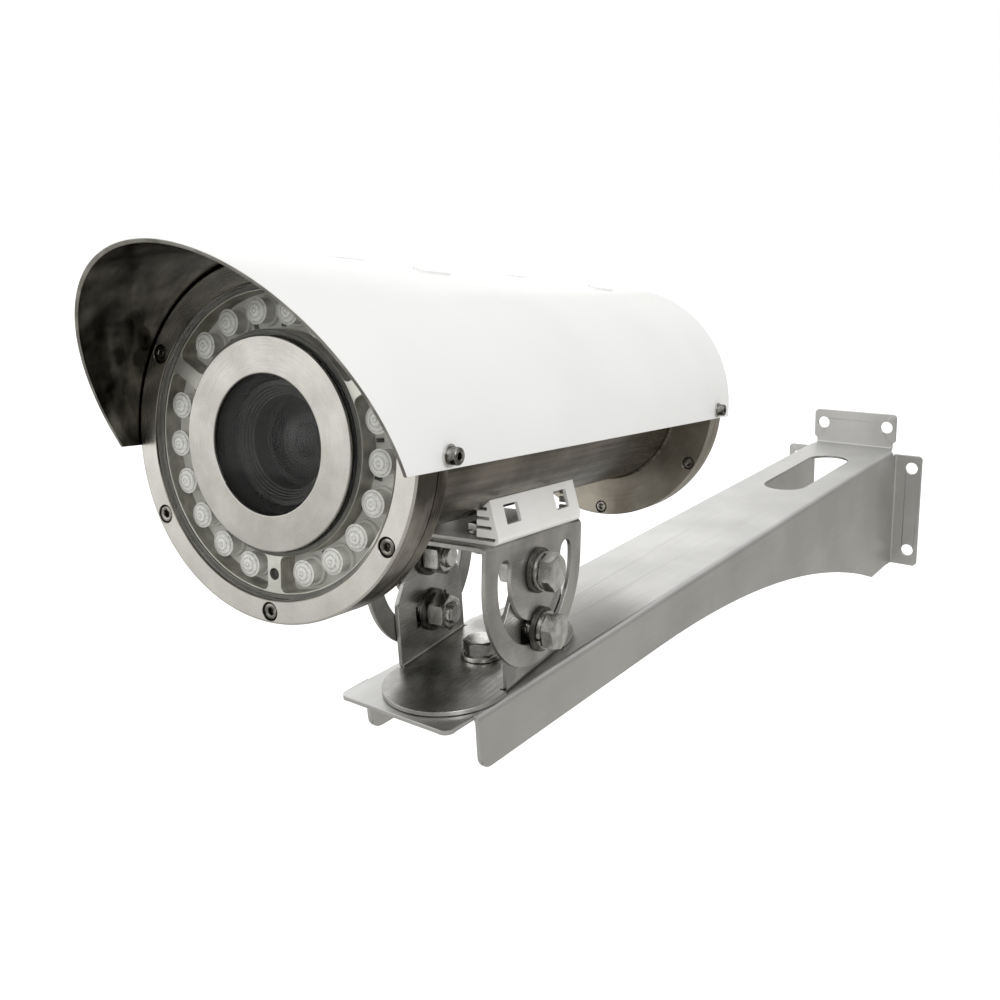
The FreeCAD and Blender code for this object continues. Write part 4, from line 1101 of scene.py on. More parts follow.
@dataclass(frozen=True)
class YokeAndCradle:
    """Tilt yoke with its clamp slots, and the cradle that is bolted on it."""

    size: Thread = M6
    edge: float = 0.3
    floor: float = 21.9
    under: float = 17.4
    tail: float = 11.4
    bolt_x: float = 19.0
    bolt_y: float = 28.0

    def build(self, look: Finishes) -> list[bpy.types.Object]:
        """Make the yoke, the cradle and their bolts, and return them."""
        size = self.size
        yoke = sheet_copy("tilt_yoke", "yoke_sheet", [look.yoke], ON_HEAD, Grain.Y, self.edge)
        # The cradle's near-white finish is a painted reflection.
        cradle = sheet_copy("cradle", "cradle_sheet", [look.cradle], ON_HEAD, Grain.Y, self.edge)
        bolts, nuts, rings = Shell(), Shell(), Shell()
        for x in (-self.bolt_x, self.bolt_x):
            for y in (-self.bolt_y, self.bolt_y):
                head_seat = self.floor + size.washer_t
                rings.add(flat_ring(size.washer / 2, 3.1, size.washer_t), ON_HEAD.at((x, y, self.floor)))
                add_bolt(bolts, size, ON_HEAD.at((x, y, head_seat), (0, 0, 1), 15), head_seat - self.tail)
                nuts.add(hex_nut(size), ON_HEAD.at((x, y, self.under), (0, 0, -1)))
        hard = "stainless_hardware"
        return [
            seat(yoke, Body.HEAD, "stainless_yoke", "tilt_yoke"),
            seat(cradle, Body.HEAD, "stainless_cradle", "cradle"),
            seat(bolts.piece("cradle_bolt_set", [look.hardware]), Body.HEAD, hard, "cradle_bolts"),
            seat(nuts.piece("cradle_nut_set", [look.hardware]), Body.HEAD, hard, "cradle_nuts"),
            seat(rings.piece("cradle_washer_set", [look.hardware]), Body.HEAD, hard, "cradle_washers")]


# The housing's pieces stand in a frame whose +Z runs back along the tube from the face

ON_TUBE = ON_HOUSING.at((0, 0, 0), (0, 1, 0))
FACE_SCREWS = tuple(-90.0 + 60.0 * k for k in range(6))
FLANGE_R = 72.8
SCREW_R = 68.0
ROUND = 192


def around(radius: float, angle: float, depth: float = 0.0) -> tuple[float, float, float]:
    """Point on a circle about the tube, its angle seen from the front against the clock from +X."""
    turned = math.radians(-angle)
    return (radius * math.cos(turned), radius * math.sin(turned), depth)


def shift(point: Sequence[float], facing: float = 1.0, spin: float = 0.0) -> Place:
    """Place at a point whose +Z keeps or reverses the parent's +Z."""
    return IN_WORLD.at(point, (0, 0, facing), spin)


@dataclass(frozen=True)
class FrontBezel:
    """Clamp ring of the window with six counterbored screws, and the welded ring behind it."""

    thick: float = 13.6
    lip_r: float = 63.4
    shelf_r: float = 61.0
    shelf: float = 3.6
    sink_r: float = 3.9
    sink: float = 4.4
    seam: float = 0.8
    ring_end: float = 20.8
    tube_r: float = 48.0
    screw: CapScrew = CapScrew(length=14.0)

    def bezel(self, look: Finishes) -> bpy.types.Object:
        """Front face with counterbores, joined to the turned side and the inner shelf."""
        face_r = FLANGE_R - 0.9
        side = rounded([(face_r, 0, 0), (FLANGE_R, 0, 0.75), (FLANGE_R, self.thick, 0.35),
                        (self.shelf_r, self.thick, 0.3), (self.shelf_r, self.shelf, 0.2),
                        (self.lip_r - 0.4, self.shelf, 0), (self.lip_r - 0.4, 0, 0.35),
                        (self.lip_r + 0.1, 0, 0)], 5)
        mouth = self.sink_r + 0.22
        holes = [circle(*around(SCREW_R, a)[:2], mouth) for a in FACE_SCREWS]
        shell = Shell()
        shell.add_face(circle(0, 0, face_r, ROUND), [circle(0, 0, self.lip_r + 0.1, ROUND), *holes], 0.0,
                       0, True)
        sweep = lathe(side, ROUND)
        rim = int(np.argmax(side[:, 1] > 0.8))
        for first, last, finish in ((0, rim + 1, 0), (rim, len(side), 1)):
            shell.add(Surface(sweep.points[first:last], sweep.pattern[first:last], finish))
        bore = rounded([(mouth, 0, 0), (self.sink_r, 0.22, 0), (self.sink_r, self.sink, 0.1),
                        (2.05, self.sink, 0), (2.05, 6.0, 0), (0, 6.0, 0)], 3)
        for a in FACE_SCREWS:
            well = lathe(bore, 48)
            well.finish = 1
            shell.add(well, shift(around(SCREW_R, a)))
        # Finish 1, the turned side and the counterbore walls, carries painted reflections.
        return shell.piece("bezel_ring", [look.face, look.side], ON_TUBE)

    def grooved_ring(self, look: Finishes) -> bpy.types.Object:
        """Ring behind the seam with three fine turned grooves on its side."""
        low, high, r = self.thick + self.seam, self.ring_end, FLANGE_R
        corners = [(self.tube_r, low + 1, 0), (self.tube_r, low, 0), (r - 0.1, low, 0.35)]
        for k in range(3):
            groove = low + 1.7 + 1.5 * k
            corners += [(r, groove - 0.35, 0.1), (r - 0.3, groove, 0.12), (r, groove + 0.35, 0.1)]
        corners += [(r, high, 0.35), (self.tube_r, high, 0), (self.tube_r, low + 1, 0)]
        return Shell().add(lathe(rounded(corners, 4, 0.1), ROUND)).piece("welded_front_ring", [look.side],
                                                                         ON_TUBE)

    def build(self, look: Finishes) -> list[bpy.types.Object]:
        """Make the bezel, its screws, the gasket and the welded ring, and return them."""
        screws = Shell()
        for k, a in enumerate(FACE_SCREWS):
            self.screw.add_to(screws, shift(around(SCREW_R, a, self.sink), -1.0, 10 * k))
        low, high = self.thick, self.thick + self.seam
        seal = rounded([(50, low + 0.4, 0), (50, low, 0), (FLANGE_R - 1.1, low, 0.2),
                        (FLANGE_R - 1.1, high, 0.2), (50, high, 0), (50, low + 0.4, 0)], 3)
        gasket = Shell().add(lathe(seal, ROUND)).piece("seam_gasket", [look.rubber], ON_TUBE)
        return [
            seat(self.bezel(look), Body.HEAD, "stainless_turned", "front_bezel"),
            seat(screws.piece("bezel_screw_set", [look.screws], ON_TUBE), Body.HEAD, "stainless_hardware",
                 "bezel_screws"),
            seat(gasket, Body.HEAD, "black_rubber", "front_gasket"),
            seat(self.grooved_ring(look), Body.HEAD, "stainless_turned", "front_ring")]


@dataclass(frozen=True)
class Window:
    """Glass pane with its seal and the flat metal ring around the lens opening."""

    pane_r: float = 62.5
    front: float = 0.5
    back: float = 3.0
    seal_r: float = 62.95
    shelf_r: float = 61.05
    ring_in: float = 28.2
    ring_out: float = 42.9
    ring_t: float = 1.2

    def build(self, look: Finishes) -> list[bpy.types.Object]:
        """Make the pane, the seal and the centre ring, and return them."""
        pane = rounded([(0, self.front, 0), (self.pane_r, self.front, 0.35), (self.pane_r, self.back, 0.35),
                        (0, self.back, 0)], 4)
        seat_y = self.back + 0.55
        seal = rounded([(self.seal_r, 0.7, 0), (self.seal_r, seat_y, 0.1), (self.shelf_r, seat_y, 0.1),
                        (self.shelf_r, self.back + 0.05, 0.1), (self.pane_r + 0.05, self.back + 0.05, 0),
                        (self.pane_r + 0.05, 0.55, 0.1), (self.seal_r, 0.55, 0.1), (self.seal_r, 0.7, 0)], 3)
        top = self.front - self.ring_t
        disc = rounded([(self.ring_in, self.front - 0.3, 0), (self.ring_in, top, 0.4),
                        (self.ring_out, top, 0.45), (self.ring_out, self.front, 0),
                        (self.ring_in, self.front, 0), (self.ring_in, self.front - 0.3, 0)], 5)
        turned = "stainless_turned"
        return [
            seat(Shell().add(lathe(pane, ROUND)).piece("window_pane", [look.glass], ON_TUBE), Body.HEAD,
                 "window_glass", "window_glass"),
            seat(Shell().add(lathe(seal, ROUND)).piece("window_gasket", [look.silicone], ON_TUBE), Body.HEAD,
                 "black_rubber", "window_seal"),
            # The centre ring's darker copy of the face finish is painted shade.
            seat(Shell().add(lathe(disc, ROUND)).piece("lens_opening_ring", [look.shaded_lens_ring], ON_TUBE), Body.HEAD,
                 turned, "centre_ring")]


@dataclass(frozen=True)
class LampRing:
    """Lamp frame with three pockets, the board behind it and eighteen lamps."""

    outer: float = 61.0
    inner: float = 42.9
    frame_front: float = 3.6
    frame_back: float = 12.0
    board_t: float = 1.6
    lamp_r: float = 52.9
    pitch: float = 17.6
    pocket_half: float = 7.4
    corner: float = 2.5
    spoke_half: float = 3.6
    middles: tuple[float, ...] = (-30.0, 90.0, 210.0)
    lens_r: float = 5.4
    lens_top: float = 3.3
    lens_rim: float = 4.8
    lens_base: float = 5.4
    neck_r: float = 4.9
    holder_r: float = 6.1
    foot: float = 1.5
    stop_in: float = 43.2
    stop_out: float = 45.2
    stop_front: float = 3.3
    stop_foot: float = 4.2
    sensor_r: float = 2.2
    sensor_top: float = 4.6

    def angles(self) -> list[float]:
        """Directions of the lamps."""
        return [mid + self.pitch * (k - 2.5) for mid in self.middles for k in range(6)]

    def pocket(self, middle: float) -> Array:
        """Outline of a pocket: two arcs about the tube joined by ends that run beside the spokes.

        The middle of a corner arc lies a corner radius off the spoke's side and off the pocket's arc,
        so its way out along the spoke is the root of the squared reach less the squared offset.

        Args:
            middle: Direction of the pocket's middle in degrees.

        Returns:
            Array of (x, y).
        """
        along = np.array((0.5, math.sqrt(0.75)))
        off = np.array((along[1], -along[0])) * (self.spoke_half + self.corner)
        outer, inner = self.lamp_r + self.pocket_half, self.lamp_r - self.pocket_half
        arcs, bearings = [], []
        for reach, near in ((outer - self.corner, False), (inner + self.corner, True)):
            spot = along * math.sqrt(reach ** 2 - off @ off) + off
            bearing = math.atan2(spot[1], spot[0])
            side = math.radians(150)
            a = np.linspace(side, bearing + math.pi, 7) if near else np.linspace(bearing, side, 7)
            arcs.append(spot + self.corner * np.stack((np.cos(a), np.sin(a)), axis=1))
            bearings.append(bearing)
        out = np.linspace(0, bearings[0], 24)[:-1]
        back = np.linspace(bearings[1], 0, 24)[1:]
        half = np.concatenate((outer * np.stack((np.cos(out), np.sin(out)), axis=1), *arcs,
                               inner * np.stack((np.cos(back), np.sin(back)), axis=1)))
        whole = np.concatenate((half, (half * (1, -1))[::-1][1:-1]))
        return whole @ turn_about(Grain.Z, -middle)[:2, :2].T

    def frame_piece(self, look: Finishes) -> bpy.types.Object:
        """Ring plate with its pockets, the sensor hole and the soft grey ring on its inner land, which is painted
        shade on that land and keeps lamp light out of the camera's lens."""
        holes = [self.pocket(mid) for mid in self.middles]
        holes.append(circle(*around(self.lamp_r, -90)[:2], 2.4, 32))
        holes.append(circle(0, 0, self.inner, ROUND))
        # The edge walls take finish 1, the darker wall finish, as painted shade in the pockets.
        shell = Shell().add_plate(circle(0, 0, self.outer, ROUND), holes, self.frame_front, self.frame_back,
                                  1)
        # Grey ring over the inner land: painted shade there, and a light stop.
        stop = rounded([(self.stop_in, self.stop_foot, 0), (self.stop_in, self.stop_front, 0.1),
                        (self.stop_out, self.stop_front, 0.1), (self.stop_out, self.stop_foot, 0),
                        (self.stop_in, self.stop_foot, 0)], 3)
        shell.add(lathe(stop, ROUND, finish=2))
        return shell.piece("lamp_frame_plate", [look.lamp_frame, look.pocket_wall_shade, look.light_stop_shade],
                           ON_TUBE, 0.25)

    def lens(self) -> Surface:
        """Lens with its front at local z = 0: depth grows with the square of the radius, plus a
        small cosine ripple that makes the moulded rings."""
        share = np.linspace(0, 1, 19) ** 0.8
        depth = (self.lens_rim - self.lens_top) * share ** 2
        ripple = 0.05 * (1 - np.cos(2 * math.pi * share * 5)) * (1 - share ** 4)
        dome = np.stack((share * self.lens_r, depth + ripple), axis=1)
        back = self.lens_base - self.lens_top
        foot = np.array([(self.lens_r, back - 0.05), (self.lens_r - 0.3, back), (0, back)])
        return lathe(np.concatenate((dome, foot)), 36)

    def holder(self) -> Surface:
        """Round lamp body on a wider foot."""
        depth = self.frame_back - self.lens_base
        foot = depth - self.foot
        return lathe(rounded([(0, 0.02, 0), (self.neck_r, 0.02, 0.2), (self.neck_r, foot, 0.2),
                              (self.holder_r, foot, 0.3), (self.holder_r, depth, 0), (0, depth, 0)], 4, 0.1), 36)

    def build(self, look: Finishes) -> list[bpy.types.Object]:
        """Make the frame, board, lamps, holders, small parts and sensor, and return them."""
        lenses, holders = Shell(), Shell()
        for a in self.angles():
            lenses.add(self.lens(), shift(around(self.lamp_r, a, self.lens_top)))
            holders.add(self.holder(), shift(around(self.lamp_r, a, self.lens_base)))
        board = Shell().add_plate(circle(0, 0, self.outer - 0.05, ROUND),
                                  [circle(0, 0, self.inner + 0.05, ROUND)],
                                  self.frame_back, self.frame_back + self.board_t)
        depth = self.frame_back - self.sensor_top
        eye = Shell().add(lathe(rounded([(0, 0, 0), (self.sensor_r, 0.0, 1.1), (self.sensor_r, depth, 0),
                                         (0, depth, 0)], 6), 32),
                          shift(around(self.lamp_r, -90, self.sensor_top)))
        chips = sheet_copy("lamp_resistors", "lamp_chips", [look.chip], ON_HOUSING, Grain.X, 0.08)
        return [
            seat(self.frame_piece(look), Body.HEAD, "lamp_plate", "lamp_frame"),
            seat(board.piece("lamp_board_plate", [look.board], ON_TUBE), Body.HEAD, "circuit_board",
                 "lamp_board"),
            seat(lenses.piece("lamp_lens_set", [look.lamp], ON_TUBE, sharp=60), Body.HEAD, "lamp_lens",
                 "lamp_lenses"),
            seat(holders.piece("lamp_holder_set", [look.holder], ON_TUBE), Body.HEAD, "lamp_holder",
                 "lamp_holders"),
            seat(chips, Body.HEAD, "chip", "lamp_resistors"),
            seat(eye.piece("light_sensor_eye", [look.black], ON_TUBE), Body.HEAD, "black_housing",
                 "light_sensor")]


@dataclass(frozen=True)
class CameraLens:
    """Light shroud, zoom lens and its glass."""

    shroud_out: float = 42.85
    shroud_in: float = 40.9
    shroud_front: float = 3.05
    shroud_end: float = 28.0
    nose: float = 9.5
    glass_r: float = 19.0
    camera_face: float = 58.0

    def barrel_profile(self) -> Array:
        """Profile from the front glass over the ribbed mouth and down the knurled outside."""
        n = self.nose
        mouth = [(self.glass_r, n + 16, 0), (self.glass_r, n + 4.6, 0)]
        for k in range(4):
            r = self.glass_r + 0.4 + 0.95 * k
            mouth += [(r, n + 4.5 - 0.95 * k - 0.5, 0.06), (r + 0.55, n + 4.5 - 0.95 * k - 0.55, 0.06)]
        outside = [(23.4, n, 0.15), (25.5, n, 0.3), (25.5, n + 14, 0.2), (23, n + 14.5, 0.2),
                   (23, n + 26, 0.2), (24.5, n + 26.5, 0.2), (24.5, n + 37.5, 0.2), (21, n + 38, 0.2),
                   (21, self.camera_face, 0), (0, self.camera_face, 0), (0, n + 16, 0),
                   (self.glass_r, n + 16, 0)]
        return rounded(mouth + outside, 4, 0.1)

    def glass(self) -> Surface:
        """Front glass: a dome of radius 30 over a hollow back of radius 24, closed by a thin rim."""
        r = np.linspace(0, self.glass_r - 0.05, 24)
        front = self.nose + 35 - np.sqrt(900 - r ** 2)
        back = self.nose + 32 - np.sqrt(24.0 ** 2 - r[::-1] ** 2)
        rows = np.concatenate((np.stack((r, front), axis=1),
                               np.stack((r[::-1], np.maximum(back, front[::-1] + 0.6)), axis=1)))
        return lathe(rows, 96)

    def iris(self) -> Surface:
        """Stepped cone behind the front glass that narrows to the rear glass."""
        corners = [(self.glass_r - 0.1, self.nose + 15.9, 0), (self.glass_r - 0.1, self.nose + 13.0, 0.1)]
        for k in range(5):
            r = self.glass_r - 1.4 - 1.9 * k
            corners += [(r, self.nose + 13.0 + 0.45 * k, 0.08), (r, self.nose + 13.45 + 0.45 * k, 0.08)]
        corners += [(7.6, self.nose + 15.4, 0), (0, self.nose + 15.4, 0), (0, self.nose + 15.9, 0),
                    (self.glass_r - 0.1, self.nose + 15.9, 0)]
        return lathe(rounded(corners, 3, 0.05), 96)

    def rear_glass(self) -> Surface:
        """Small dome at the bottom of the iris."""
        r = np.linspace(0, 7.4, 14)
        front = self.nose + 13.2 + 14 - np.sqrt(14.0 ** 2 - r ** 2)
        rows = np.concatenate((np.stack((r, front), axis=1), [(7.4, self.nose + 15.45), (0, self.nose + 15.45)]))
        return lathe(rows, 64)

    def build(self, look: Finishes) -> list[bpy.types.Object]:
        """Make the shroud, the barrel and the glasses, and return them."""
        wall = rounded([(self.shroud_in, 10, 0), (self.shroud_in, self.shroud_front, 0.3),
                        (self.shroud_out, self.shroud_front, 0.3), (self.shroud_out, self.shroud_end, 0.3),
                        (self.shroud_in, self.shroud_end, 0.3), (self.shroud_in, 10, 0)], 3)
        barrel = lathe(self.barrel_profile(), 144)
        angle = np.arctan2(barrel.points[..., 1], barrel.points[..., 0])
        radius = np.linalg.norm(barrel.points[..., :2], axis=2)
        grip = (radius > 24.3) & (barrel.points[..., 2] > self.nose + 27)
        dip = 1 - 0.25 * np.where(grip, 0.5 + 0.5 * np.cos(72 * angle), 0) / np.maximum(radius, 1)
        barrel.points[..., :2] *= dip[..., None]
        return [
            seat(Shell().add(lathe(wall, ROUND)).piece("light_shroud", [look.black], ON_TUBE), Body.HEAD,
                 "black_housing", "lens_shroud"),
            seat(Shell().add(barrel).piece("zoom_barrel", [look.black], ON_TUBE), Body.HEAD, "black_housing",
                 "lens_barrel"),
            seat(Shell().add(self.glass()).piece("front_glass", [look.front_glass], ON_TUBE), Body.HEAD,
                 "lens_glass", "lens_element"),
            seat(Shell().add(self.iris()).piece("iris_cone", [look.iris], ON_TUBE), Body.HEAD,
                 "black_housing"),
            seat(Shell().add(self.rear_glass()).piece("rear_glass", [look.optic], ON_TUBE), Body.HEAD,
                 "lens_glass")]


@dataclass(frozen=True)
class Tube:
    """Round body tube between its two welded rings, with the weld beads in the corners."""

    radius: float = 48.0
    bore: float = 45.5
    start: float = 14.4
    end: float = 322.0
    front_weld: float = 20.8
    rear_weld: float = 314.0

    def build(self, look: Finishes) -> list[bpy.types.Object]:
        """Make the tube and return it."""
        rows = np.linspace(self.front_weld + 2.0, self.rear_weld - 2.0, 24)
        out = [(self.radius, self.start), (self.radius, self.front_weld), (self.radius + 1.4, self.front_weld),
               (self.radius + 0.7, self.front_weld + 0.45), (self.radius, self.front_weld + 1.4)]
        out += [(self.radius, float(y)) for y in rows]
        out += [(self.radius, self.rear_weld - 1.4), (self.radius + 0.7, self.rear_weld - 0.45),
                (self.radius + 1.4, self.rear_weld), (self.radius, self.rear_weld), (self.radius, self.end),
                (self.bore, self.end), (self.bore, self.start), (self.radius, self.start)]
        shell = Shell().add(lathe(np.array(out), ROUND))
        # The tube's finish carries painted reflections: dark tones and streaks along its length.
        return [seat(shell.piece("body_tube", [look.tube], ON_TUBE), Body.HEAD, "stainless_tube",
                     "housing_tube")]


@dataclass(frozen=True)
class RearEnd:
    """Rear ring, its gasket and screws, the rear cover and the two cable glands."""

    ring_front: float = 314.0
    ring_back: float = 322.0
    seam: float = 0.8
    cover_back: float = 331.8
    tube_r: float = 48.0
    sink_r: float = 3.9
    sink: float = 4.4
    screw: CapScrew = CapScrew()
    gland_x: float = 20.0
    gland_z: float = -18.0
    gland_flats: float = 24.0

    def ring(self, look: Finishes) -> bpy.types.Object:
        """Rear ring with the counterbores on its front face."""
        face_r = FLANGE_R - 0.7
        mouth = self.sink_r + 0.22
        y0, y1 = self.ring_front, self.ring_back
        side = rounded([(face_r, y0, 0), (FLANGE_R, y0, 0.55), (FLANGE_R, y1, 0.35), (self.tube_r, y1, 0),
                        (self.tube_r, y0, 0)], 5)
        holes = [circle(*around(SCREW_R, a)[:2], mouth) for a in FACE_SCREWS]
        shell = Shell().add_face(circle(0, 0, face_r, ROUND), [circle(0, 0, self.tube_r, ROUND), *holes],
                                 y0, 0, True)
        shell.add(lathe(side, ROUND))
        bore = rounded([(mouth, 0, 0), (self.sink_r, 0.22, 0), (self.sink_r, self.sink, 0.1),
                        (2.05, self.sink, 0), (2.05, 6.0, 0), (0, 6.0, 0)], 3)
        for a in FACE_SCREWS:
            shell.add(lathe(bore, 48), shift(around(SCREW_R, a, y0)))
        return shell.piece("rear_flange", [look.rear], ON_TUBE)

    def glands(self, look: Finishes) -> list[bpy.types.Object]:
        """Gland bodies, caps and rubber inserts."""
        bodies, caps, inserts = Shell(), Shell(), Shell()
        neck = rounded([(0, -0.2, 0), (9, -0.2, 0), (9, 11, 0.3), (6.5, 11, 0.2), (6.5, 8, 0), (0, 8, 0)], 3)
        dome = rounded([(10.7, 13.6, 0), (10.7, 14.0, 0.2), (10.4, 15.6, 1.2), (8.2, 20, 0.9), (6.5, 20, 0.3),
                        (6.5, 13.6, 0), (10.7, 13.6, 0)], 5)
        plug = rounded([(0, 16, 0), (3.5, 16, 0.2), (3.5, 20, 0.4), (6.45, 20, 0.3), (6.45, 12, 0), (0, 12, 0)], 4)
        for x in (-self.gland_x, self.gland_x):
            spot = (x, -self.gland_z, self.cover_back)
            bodies.add(hex_head(self.gland_flats, 5.0, 0.4), shift(spot)).add(lathe(neck, 64), shift(spot))
            caps.add(hex_head(self.gland_flats - 1, 9.0, 0.4), shift((x, -self.gland_z, self.cover_back + 5)))
            caps.add(lathe(dome, 64), shift(spot))
            inserts.add(lathe(plug, 48), shift(spot))
        brass = "nickel_brass"
        return [
            seat(bodies.piece("gland_body_pair", [look.nickel], ON_TUBE), Body.HEAD, brass, "gland_bodies"),
            seat(caps.piece("gland_cap_pair", [look.nickel], ON_TUBE), Body.HEAD, brass, "gland_caps"),
            seat(inserts.piece("gland_insert_pair", [look.rubber], ON_TUBE), Body.HEAD, "black_rubber",
                 "gland_inserts")]

    def build(self, look: Finishes) -> list[bpy.types.Object]:
        """Make everything behind the tube and return it."""
        low = self.ring_back
        seal = rounded([(50, low + 0.4, 0), (50, low, 0), (FLANGE_R - 1.1, low, 0.2),
                        (FLANGE_R - 1.1, low + self.seam, 0.2), (50, low + self.seam, 0),
                        (50, low + 0.4, 0)], 3)
        gasket = Shell().add(lathe(seal, ROUND)).piece("rear_seam_gasket", [look.rubber], ON_TUBE)
        screws = Shell()
        for k, a in enumerate(FACE_SCREWS):
            self.screw.add_to(screws, shift(around(SCREW_R, a, self.ring_front + self.sink), -1.0, 14 * k))
        y0, y1, r = low + self.seam, self.cover_back, FLANGE_R
        disc = rounded([(0, y0, 0), (r, y0, 0.35), (r, y1, 0.9), (r - 6, y1, 0.1), (r - 6.3, y1 - 0.3, 0.1),
                        (r - 6.9, y1 - 0.3, 0.1), (r - 7.2, y1, 0.1), (0, y1, 0)], 5)
        cover = Shell().add(lathe(disc, ROUND)).piece("rear_disc", [look.rear], ON_TUBE)
        turned = "stainless_turned"
        return [
            seat(self.ring(look), Body.HEAD, turned, "rear_ring"),
            seat(gasket, Body.HEAD, "black_rubber", "rear_gasket"),
            seat(screws.piece("rear_screw_set", [look.screws], ON_TUBE), Body.HEAD, "stainless_hardware",
                 "rear_screws"),
            seat(cover, Body.HEAD, turned, "rear_cover"), *self.glands(look)]


@dataclass(frozen=True)
class Sunshield:
    """Half-round painted sheet with its slanted visor, plugs and radial screws."""

    inner: float = 73.3
    outer: float = 74.7
    drop: float = 4.2
    tip: float = -58.8
    corner: float = -9.05
    rear: float = 340.7
    soft: float = 0.4
    plug_l: float = 24.0
    plug_w: float = 9.0
    plug_up: float = 0.9
    plugs: tuple[tuple[float, float], ...] = ((0, 48), (0, 190), (16, 84), (16, 258), (-16, 84), (-16, 258))
    screw_y: tuple[float, ...] = (17.6, 318.0)
    screw: CapScrew = CapScrew(length=9.0)

    def sheet(self) -> list[Surface]:
        """Sheet in housing coordinates: angle runs across and a closed loop of (radius, length)
        runs around the section. The front end of each line lies on the visor's slanted plane. The two
        straight edges close because the outermost columns shrink to the middle of the sheet."""
        middle = (self.inner + self.outer) / 2
        soft = self.soft
        turn = np.radians(np.linspace(0, 90, 4))
        bend = np.stack((1 - np.sin(turn), 1 - np.cos(turn)), axis=1) * soft
        length = [float(t) for t in np.linspace(0.03, 0.97, 44)]
        outside = [(self.outer, soft, 0.0)] + [(self.outer, 0.0, t) for t in length]
        outside += [(self.outer - b[1], -b[0], 1.0) for b in bend]
        outside += [(self.inner + b[1], -b[0], 1.0) for b in bend[::-1]]
        # The inner side takes the dark lining finish, painted shade under the hood.
        shaded_lining = [(self.inner, -soft, 1.0)] + [(self.inner, 0.0, t) for t in length[::-1]]
        shaded_lining += [(self.inner, soft, 0.0)]
        rim = [(self.inner + b[1], b[0], 0.0) for b in bend]
        rim += [(self.outer - b[1], b[0], 0.0) for b in bend[::-1]]
        edge = np.array([0.0, 0.0, 0.12, 0.3])
        squeeze = np.array([0.0, 0.55, 0.9, 1.0])
        span = 180 + 2 * self.drop
        angle = np.concatenate((edge, np.linspace(1.2, span - 1.2, 150), span - edge[::-1])) - self.drop
        shrink = np.concatenate((squeeze, np.ones(150), squeeze[::-1]))
        return [self.band(np.array(rows), np.radians(angle), shrink, middle, finish)
                for finish, rows in enumerate((outside, shaded_lining, rim))]

    def band(self, rows: Array, angle: Array, shrink: Array, middle: float, finish: int) -> Surface:
        """Grid of one side: length is the visor's front plus the share of the way to the rear."""
        radius = middle + (rows[:, :1] - middle) * shrink
        x, z = radius * np.cos(angle), radius * np.sin(angle)
        low = -self.outer * math.sin(math.radians(self.drop))
        slope = (self.tip - self.corner) / (self.outer - low)
        front = self.corner + slope * (z - low)
        y = front + (self.rear - front) * rows[:, 2:] + rows[:, 1:2]
        return surface(np.stack((x, y, z), axis=2), finish)

    def plug(self, tilt: float, y: float) -> Surface:
        """Low pillow with a round-ended outline laid on the sheet: the plan offsets inward row by row
        while the height rises in an arc."""
        rows = [(0.15, -0.3), (0.0, 0.0), (0.0, 0.35), (0.1, 0.65), (0.3, 0.82), (0.6, 0.9)]
        rows += [(1.6, 0.9), (4.4, 0.9)]
        grid = []
        for inset, up in rows:
            half, cap = (self.plug_l - self.plug_w) / 2, self.plug_w / 2 - inset
            t = np.linspace(0, 2 * math.pi, 65)
            along = half * np.tanh(6 * np.cos(t)) + cap * np.cos(t)
            across = cap * np.sin(t)
            a = math.radians(90 - tilt) + across / self.outer
            r = self.outer + up
            grid.append(np.stack((r * np.cos(a), y + along, r * np.sin(a)), axis=1))
        first = np.repeat(grid[0].mean(axis=0)[None], 65, axis=0)
        last = np.repeat(grid[-1].mean(axis=0)[None], 65, axis=0)
        return surface(np.stack([first, *grid, last]))

    def build(self, look: Finishes) -> list[bpy.types.Object]:
        """Make the sheet, plugs, screws, washers and pads, and return them."""
        shell = Shell()
        for side in self.sheet():
            shell.add(side)
        plugs = Shell()
        for tilt, y in self.plugs:
            plugs.add(self.plug(tilt, y))
        screws, rings, pads = Shell(), Shell(), Shell()
        for side in (-1, 1):
            for y in self.screw_y:
                out = (side, 0, 0)
                rings.add(flat_ring(4.5, 2.1, 1.0, 48), IN_WORLD.at((side * self.outer, y, 0), out))
                self.screw.add_to(screws, IN_WORLD.at((side * (self.outer + 1), y, 0), out, 20))
                pads.add(flat_ring(3.1, 2.1, 0.75, 36), IN_WORLD.at((side * (FLANGE_R - 0.2), y, 0), out))
        hard = "stainless_hardware"
        return [
            seat(shell.piece("shield_sheet", [look.shield, look.shaded_lining, look.cut_edge], ON_HOUSING), Body.HEAD,
                 "white_shield", "sunshield"),
            seat(plugs.piece("shield_plug_set", [look.white_plastic], ON_HOUSING, sharp=60), Body.HEAD,
                 "white_plastic", "shield_plugs"),
            seat(screws.piece("shield_screw_set", [look.screws], ON_HOUSING), Body.HEAD, hard,
                 "shield_screws"),
            seat(rings.piece("shield_washer_set", [look.hardware], ON_HOUSING), Body.HEAD, hard,
                 "shield_washers"),
            seat(pads.piece("shield_pad_set", [look.rubber], ON_HOUSING), Body.HEAD, "black_rubber",
                 "shield_pads")]


@dataclass(frozen=True)
class Inside:
    """Camera block, tray and board inside the tube, cut with broken edges."""

    edge: float = 0.25

    def build(self, look: Finishes) -> list[bpy.types.Object]:
        """Make the pieces inside the tube and return them."""
        plan = (("camera_block", "camera_body", look.black, "black_housing"),
                ("camera_tray", "tray_plate", look.tray, "tray_aluminium"),
                ("control_board", "power_board", look.green, "circuit_board"),
                ("board_posts", "post_set", look.nickel, "nickel_brass"),
                ("board_parts", "board_part_set", look.chip, "chip"),
                ("gland_nuts", "gland_nut_pair", look.nickel, "nickel_brass"))
        return [seat(sheet_copy(node, name, [finish], ON_HOUSING, Grain.Y, self.edge), Body.HEAD, slot, node)
                for node, name, finish, slot in plan]


# Stage

